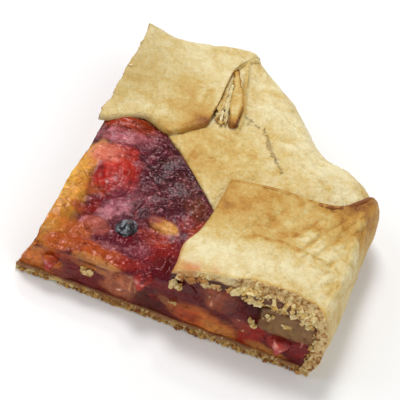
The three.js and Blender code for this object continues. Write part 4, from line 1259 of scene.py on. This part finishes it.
TOP_SPOTS = [  # x, y, radius along, radius across, turn, colour, strength
    (48, 45, 24, 16, 50, "#3a030b", 0.9),
    (41, 52, 9, 7, 60, "#2a050b", 0.7),
    (46, 60, 14, 6, -50, "#26050b", 0.7),
    (55, 41, 15, 4.5, -50, "#481a10", 0.8),
    (60, 36, 8, 5, -50, "#6c341c", 0.8),
    (58, 29, 6, 5, 0, "#862616", 0.8),
    (51, 13, 12, 9, 0, "#7c1006", 0.95),
    (47, 18.5, 9, 4, -12, "#9c2e10", 0.85),
    (56, 6, 8, 6, 0, "#560808", 0.9),
    (61.6, 24, 3.4, 11, -8, "#b04420", 0.8),
    (36, 38, 9, 7, 0, "#601020", 0.6),
    (21, 68.5, 16, 5.5, 12, "#8c2a06", 1.0),
    (28.6, 75, 5, 3.5, 0, "#84541e", 0.9),
    (34, 72, 4.5, 4, 0, "#4a0612", 0.9),
    # painted highlight: the mauve band, a pale sheen painted on the dark jelly
    (20, 61.4, 14, 4, 8, "#a85c62", 0.9),
    (29, 60, 5, 3, 30, "#681828", 0.8),
    (9, 26, 30, 8.5, 88, "#c4862c", 1.0),
    (6.5, 33, 18, 3.5, 88, "#dca844", 0.8),
    (11, 46, 9, 5, 80, "#dc9c3c", 0.9),
    (13, 52, 6, 3, 70, "#d89860", 0.7),
    (10, 8, 11, 7, 80, "#bc7228", 0.8),
    (18, 34, 6, 5, 90, "#b4561c", 0.8),
    (23, 45, 15, 9.5, 98, "#a61c0c", 1.0),
    (17.5, 51, 8, 6, 20, "#cc6c52", 0.9),
    (25, 52, 6, 5, 60, "#b0301e", 0.6),
    (19.6, 38.5, 6, 5, 0, "#a8140a", 0.85),
    # painted highlight: the next two are a mauve haze on the lower right of the red apple
    (26.5, 38, 6, 5, 30, "#983638", 0.8),
    (29, 34, 6, 4, 20, "#803442", 0.8),
    (20, 25, 9, 3.6, 95, "#74120a", 0.95),
    (15, 22, 4, 3, 0, "#8e3410", 0.8),
    # painted highlight: the next two are a pale mauve haze in the middle of the top
    (29, 28.5, 6.5, 4, 20, "#a86470", 0.8),
    (25.5, 24, 4, 3, 20, "#b87c84", 0.7),
    # painted shadow: dark red on the jelly in front of the dark berry
    (36, 16.5, 10, 5, 0, "#5c0814", 0.9),
    # the top cranberry's pale pink: partly its own colour, partly a painted highlight haze
    (23.8, 17, 7, 5, 0, "#b45e50", 0.85),
    (18, 12, 7, 5, 0, "#b45c24", 0.8),
    # painted highlight: a long pale streak near the front
    (29, 9.6, 9, 2, 4, "#a05c5c", 0.6),
    (22, 6, 12, 4.5, 0, "#a04410", 0.95),
    (33, 4, 13, 4.5, -3, "#a04412", 0.9),
    (43, 10, 6, 4.5, 30, "#70303a", 0.7),
    (43, 4, 7, 4, 0, "#8a1c10", 0.8),
    (28, 1.4, 9, 1.8, 4, "#b9783c", 0.8),
    (35, 0.6, 7, 1.4, -4, "#c08a4e", 0.7),
    (6, 5, 7, 3, 60, "#b8823e", 0.8),
    (14, 4.0, 8, 4.4, 0, "#a4501e", 0.95),
    (5.5, 3, 3.4, 3, 0, "#b8702a", 0.9),
    (48.8, 24.8, 8.6, 5, -14, "#8e3c38", 0.6),
    (48.8, 24.8, 7.2, 3.6, -14, "#b87a34", 0.95),
    # painted highlight on the yellow right end of the gold apple bit
    (51.6, 24.6, 4, 2.6, -20, "#cc9848", 0.8),
    (44, 26.8, 3.6, 3.0, 0, "#8c4038", 0.85),
]
FRONT_SPOTS = [  # x, z, radius along, radius up, turn, colour, strength
    (8, 9, 13, 9, 0, "#c4742a", 1.0),
    (14, 5, 9, 3, 0, "#8c4a28", 0.7),
    (16, 15.4, 7, 3.4, 0, "#983c18", 0.9),
    (17, 18.6, 9, 3, 0, "#a4501e", 0.9),
    (5, 15.5, 4, 3.4, 0, "#b8702a", 0.9),
    (23, 11.5, 6, 6, 0, "#6a1010", 1.0),
    (19, 7, 6, 3, 30, "#6e2a28", 0.7),
    (31, 9.5, 9, 6, 0, "#641412", 1.0),
    (33, 5, 11, 2, 0, "#6c2a2c", 0.6),
    (31, 14.6, 12, 1.6, -4, "#b87a3e", 0.85),
    (41, 11.6, 8.5, 8.5, 0, "#a46444", 0.95),
    (39.6, 11, 2.4, 8, 10, "#90502e", 0.7),
    (45, 17.6, 7, 1.6, -10, "#b8805c", 0.8),
    (48.5, 9, 3, 6, 10, "#6e3424", 0.6),
    (54, 8, 7, 6, 0, "#4c2018", 0.9),
    (55, 11, 3, 2.4, 0, "#7c1a16", 0.7),
    (56, 21, 12, 6, 0, "#701010", 1.0),
    (61, 16, 9, 3, 0, "#5a1210", 0.8),
    (60, 11.4, 7, 2.6, -30, "#8c6034", 0.7),
    (76, 9, 18, 6.5, -6, "#b86a28", 1.0),
    (69, 9, 8, 4, -6, "#a03a16", 0.8),
    (82, 7, 9, 4, -14, "#bc8036", 0.8),
    (80, 2.6, 16, 1.6, -2, "#7c2014", 0.7),
    # painted shade: dark red in the sunk place under the lip
    (67, 24, 9, 5, 0, "#4c0e10", 0.95),
    (79, 23, 9, 7, -8, "#843e1e", 0.95),
    (75.6, 24, 2.2, 7, 8, "#9a5634", 0.6),
    (85, 19, 4, 9, 20, "#5c2626", 0.7),
    # painted shade: dark maroon in the hollow under the broken crust
    (93, 26, 9, 8, 0, "#3c1410", 0.95),
    (94, 10, 5.5, 9, -30, "#8e1c12", 0.95),
    (89, 14, 5, 3, -30, "#9a4a3a", 0.6),
    (106, 22, 13, 8, 0, "#86602e", 1.0),
    (103, 27, 9, 3, 0, "#6c4c28", 0.6),
    (104.5, 10.5, 5, 4.6, 0, "#b43a30", 0.95),
    (112.5, 11.5, 5, 6, 0, "#80100c", 1.0),
    (101, 5.4, 9, 3, -6, "#a86e2c", 0.9),
    # painted highlights: thin pale streaks along the chunks' edges, then small pink and white glints
    (76, 20.2, 0.5, 2.4, 8, "#dca48c", 0.7),
    (77.4, 25, 0.5, 3, -6, "#c08468", 0.6),
    (44.8, 13.4, 0.5, 3.6, 4, "#c8946c", 0.7),
    (47, 12.4, 0.5, 3.2, 8, "#b88460", 0.6),
    (104.2, 12.7, 1.8, 0.8, -30, "#ecaca0", 0.9),
    (87.8, 15.8, 1.2, 0.5, -20, "#d89a88", 0.7),
    (113.3, 14.9, 0.5, 1.6, 0, "#e0a8a0", 0.8),
    (41.3, 9.1, 1.4, 0.6, 10, "#e8cdb8", 0.9),
]
LEFT_SPOTS = [  # y, z, radius along, radius up, turn, colour, strength
    (27, 15, 30, 7.5, 4, "#b87c34", 1.0),
    (40, 6.5, 14, 3, 0, "#b0783a", 0.9),
    (61, 14, 6, 6, 0, "#5c1016", 0.9),
    (79, 7.4, 13, 3.6, 0, "#a87038", 0.9),
    (96, 16, 14, 7.5, 0, "#96552c", 0.95),
    (116, 13, 5, 5, 0, "#54101a", 0.9),
    (50, 21, 9, 3, -6, "#8a3018", 0.8),
    (70, 19, 7, 5, 30, "#7c2418", 0.7),
    (88, 23.5, 15, 2, -3, "#8c4426", 0.7),
    (106, 8, 8, 4, 10, "#843822", 0.8),
    (110, 20, 7, 4, -20, "#7a1c14", 0.7),
    (56, 7, 7, 3, 20, "#8c3a1c", 0.7),
    (124, 12, 4, 9, 0, "#7c2c1c", 0.6),
]


def blended(base_colour, u, v, spots_list, wobble):
    """Colour built up from soft ellipses whose edges wander with the noise."""
    colour = np.tile(linear(base_colour), (len(u), 1))
    for cx, cy, along, across, turn, tone, strength in spots_list:
        c, s = cos_sin(turn)
        du, dv = u - cx, v - cy
        far = np.sqrt(((du * c + dv * s) / along) ** 2 + ((-du * s + dv * c) / across) ** 2)
        share = strength * (1 - smooth(far + 0.3 * wobble, 0.5, 1.12))
        colour = lerp(colour, linear(tone), share[:, None])
    return colour


def filling_colour(p):
    """
    The filling's colour, from one set of patches on top, one on the front and one down the left cut, with
    painted highlights on the crests of the streaks and painted shade between them, and how much of a streaky
    skin it has. Some of the patches are painted highlights, and a few are painted shade.
    """
    wobble = layers(p, 5, 3, 71)
    top = blended("#541220", p[:, 0], p[:, 1], TOP_SPOTS, wobble)
    front = blended("#581416", p[:, 0], p[:, 2], FRONT_SPOTS, wobble)
    left = blended("#60181a", p[:, 1], p[:, 2], LEFT_SPOTS, wobble)
    # painted highlight: pinkish #b45c54 on the crests of the streaks
    crest = smooth(streaks(p), 0.68, 0.9) * smooth(noise(p, 7, 73), -0.5, 0.4)
    top = lerp(top, top * 0.8 + linear("#b45c54") * 0.5, (0.6 * crest * (1 - beaded(p)))[:, None])
    # painted shade: darker between the streaks, less so on pale fruit
    between = 0.45 * (1 - 0.8 * beaded(p)) * (1 - smooth(streaks(p), 0.25, 0.62))
    top = top * (1.1 - between * (1 - 0.6 * smooth(top[:, 1], 0.03, 0.12)))[:, None]
    height = surface_height(p[:, 0], p[:, 1])
    on_top = smooth(p[:, 2] + 0.6 * wobble, height - 2.6, height - 0.6)
    on_front = 1 - smooth(p[:, 1] - 0.6 * (p[:, 0] - left_cut(p[:, 1])), -1.5, 1.5) * smooth(p[:, 1], 0.5, 3)
    side = lerp(left, front, on_front[:, None]) * [1.06, 0.9, 0.8]
    return lerp(side, top, on_top[:, None]), on_top * (1 - 0.65 * beaded(p))


jelly = filling()
jelly.paint["tint"], jelly.paint["skin"] = filling_colour(jelly.points)
add_piece("jelly", jelly, JELLY, "jelly", ["filling"])

# ---------------------------------------------------------------- fruit

HANGING = ("cranberry_drip_left", "cranberry_drip_middle", "cranberry_cut_red")
# painted highlights on the drips: spots placed from each piece's middle
HANGING_HIGHLIGHT_SPOTS = [(-1.4, -3, 1.1, 0.6, 1.6), (0.9, -3, 0.7, 0.6, 0.4)]


def fruit(name):
    """
    A piece of fruit: an ellipsoid drawn towards a box, lumpy and fibrous, and flattened where the knife
    went. One that hangs out of the cut narrows downwards instead.
    """
    at, size, turn, square, own, share, slot, bend = PIECES[name]
    directions, faces = blob(int(120 * FINE), int(80 * FINE))
    radius = np.maximum(np.hypot(directions[:, 0], directions[:, 1]), 1e-9)
    x, y = (squared(radius, square) * squared(directions[:, k] / radius, square) for k in (0, 1))
    z = squared(directions[:, 2], square)
    lump = 1 + 0.05 * np.sin(3 * x + 2 * y + at[0]) + 0.04 * np.sin(4 * z + 3 * y + at[1])
    local_x, local_y, local_z = (v * size[k] / 2 * lump for k, v in enumerate((x, y, z)))
    local_y = local_y + bend * (1 - 2 * x * x)
    c, s = cos_sin(turn)
    p = np.stack([local_x * c - local_y * s, local_x * s + local_y * c, local_z], -1) + at
    if name in HANGING:
        share_up = np.maximum((p[:, 2] - at[2]) / size[2] + 0.5, 0)
        p[:, 0] = at[0] + (p[:, 0] - at[0]) * lerp(0.25, 1.3, share_up ** 1.3)
    else:
        face = np.minimum(0.3 - front_relief(p[:, 0], p[:, 2]), 1.4) - 0.35 - 0.15 * noise(p, 4, 81)
        p[:, 1] = soft_floor(p[:, 1], face, 0.35)
    left_face = left_cut(p[:, 1]) - left_relief(p[:, 1], p[:, 2]) - 0.4 - toe_reach(p)
    p[:, 0] = soft_floor(p[:, 0], left_face, 0.35)
    mesh = Mesh(p, faces)
    skinned = smooth(p[:, 2] - surface_height(p[:, 0], p[:, 1]), -1.5, 0) * (name != "dark_berry")
    p = p.copy()
    mesh.points[:, 2] += skinned * wrinkles(p)
    is_apple = name.startswith("apple")
    fibre = ridges(turned(p, turn + 90 if is_apple else 30, 3), 2.2, 2, 83)
    mesh.push((1 - skinned) * ((0.3 if is_apple else 0.2) * (fibre - 0.5) + 0.2 * layers(p, 4, 2, 84)))
    shade = 1 + (1 - skinned) * (0.2 * layers(p, 4, 3, 85) + 0.25 * (fibre - 0.5))
    tint, mesh.paint["skin"] = filling_colour(mesh.points)
    tint = tint * (1 + 0.35 * layers(p, 1.8, 2, 90))[:, None]
    mesh.paint["tint"] = np.clip(lerp(tint, linear(own), share) * shade[:, None], 0, 1)
    if name in HANGING:
        # a drip gets a pink rim low down, a painted highlight along its edge, and pinkish-white painted
        # highlights
        across, up = ((mesh.points[:, k] - at[k]) / (size[k] / 2) for k in (0, 2))
        rim = smooth(np.hypot(across, up) + 0.25 * noise(p, 2.4, 86), 0.6, 0.95) * smooth(up, 0.4, -0.3)
        body = lerp(linear(own), linear("#cc4a46"), (0.7 * rim)[:, None])
        merged = 0.9 * smooth(up + 0.3 * noise(p, 2.4, 87), 0.25, 0.9)
        painted_glints = spots(mesh.points - at, HANGING_HIGHLIGHT_SPOTS)
        mesh.paint["tint"] = lerp(lerp(body, tint, merged[:, None]), linear("#eca8a0"), painted_glints[:, None])
    if name == "dark_berry":
        wrinkled = ridges(p, 2.2, 2, 88)
        mesh.push(0.8 * (0.55 - wrinkled))
        bloom = smooth(1 - wrinkled, 0.25, 0.65) * smooth(noise(p, 3, 89), -0.6, 0.4)
        mesh.paint["tint"] = lerp(linear("#16181d"), linear("#9aa6ad"), bloom[:, None])
    return mesh, slot


def toe_reach(p):
    """How much further out than the left cut the filling sagged near the tip."""
    return (LEFT_CUT_AT_TIP - 0.6) * (1 - smooth(p[:, 1], 2, TOE_LENGTH)) * (1 - up_the_toe(p[:, 2]))


for fruit_name in PIECES:
    piece_mesh, piece_slot = fruit(fruit_name)
    add_piece(fruit_name + "_piece", piece_mesh, FRUIT, piece_slot, [fruit_name])

# ---------------------------------------------------------------- table, light and camera

TABLE_CORNERS = [(-900, -900, -0.05), (1100, -900, -0.05), (1100, 1100, -0.05), (-900, 1100, -0.05)]
SOFT_BOXES = {  # azimuth and elevation in degrees, distance and size in metres, power in watts
    "light_over": (225, 68, 0.9, 0.26, 4.1),
    "light_glint": (195, 55, 0.9, 0.1, 0.9),
    "light_left": (-80, 42, 0.9, 0.5, 1.4),
    "light_front": (30, 36, 1.0, 0.8, 2.2),
    "light_right": (80, 24, 1.0, 0.8, 1.0),
}
LIT_POINT = np.array([0, 0, 0.015])
UPRIGHT = np.array([0, 0, 1.0])
SKY = 0.36
CAMERA = {"azimuth": 3, "elevation": 47, "roll": 18, "distance": 700, "focal_px": 1750, "picture_px": 400}
CAMERA_TARGET = np.array([-6.516, -10.338, 12.0])


def direction(azimuth, elevation):
    """The direction in which a place lies, from azimuth 0 in front, going round to the right."""
    (ca, sa), (ce, se) = cos_sin(azimuth), cos_sin(elevation)
    return np.array([sa * ce, -ca * ce, se])


def put(name, data, right, up, back, place):
    """Puts a light or camera at a place, looking against its back direction."""
    made = bpy.data.objects.new(name, data)
    made.matrix_world = Matrix([[right[k], up[k], back[k], place[k]] for k in range(3)] + [[0, 0, 0, 1]])
    bpy.context.collection.objects.link(made)
    return made


def soft_box(name, azimuth, elevation, distance, size, power):
    """A square area light that faces the middle of the slice."""
    light = bpy.data.lights.new(name, "AREA")
    light.shape = "SQUARE"
    light.size = size
    light.energy = power
    back = direction(azimuth, elevation)
    right = unit(np.cross(UPRIGHT, back))
    put(name, light, right, np.cross(back, right), back, back * distance + LIT_POINT)


def sky():
    """Even white light from all round."""
    world = bpy.data.worlds.new("studio")
    bpy.context.scene.world = world
    world.use_nodes = True
    background = world.node_tree.nodes["Background"]
    background.inputs["Color"].default_value = (1, 1, 1, 1)
    background.inputs["Strength"].default_value = SKY


def camera():
    """The photograph's camera: the azimuth and elevation of its place, and a roll about its line of sight."""
    back = direction(CAMERA["azimuth"], CAMERA["elevation"])
    level = unit(np.cross(-back, UPRIGHT))
    up = np.cross(level, -back)
    c, s = cos_sin(CAMERA["roll"])
    data = bpy.data.cameras.new("camera")
    data.sensor_width = 36
    data.lens = 36 * CAMERA["focal_px"] / CAMERA["picture_px"]
    data.clip_end = 10
    place = (CAMERA_TARGET + back * CAMERA["distance"]) / 1000
    bpy.context.scene.camera = put("camera", data, c * level + s * up, c * up - s * level, back, place)


add_piece("table", Mesh(TABLE_CORNERS, [[0, 1, 2, 3]]), floor_material())
for light_name, settings in SOFT_BOXES.items():
    soft_box(light_name, *settings)
sky()
camera()
bpy.context.scene.view_settings.view_transform = "Standard"
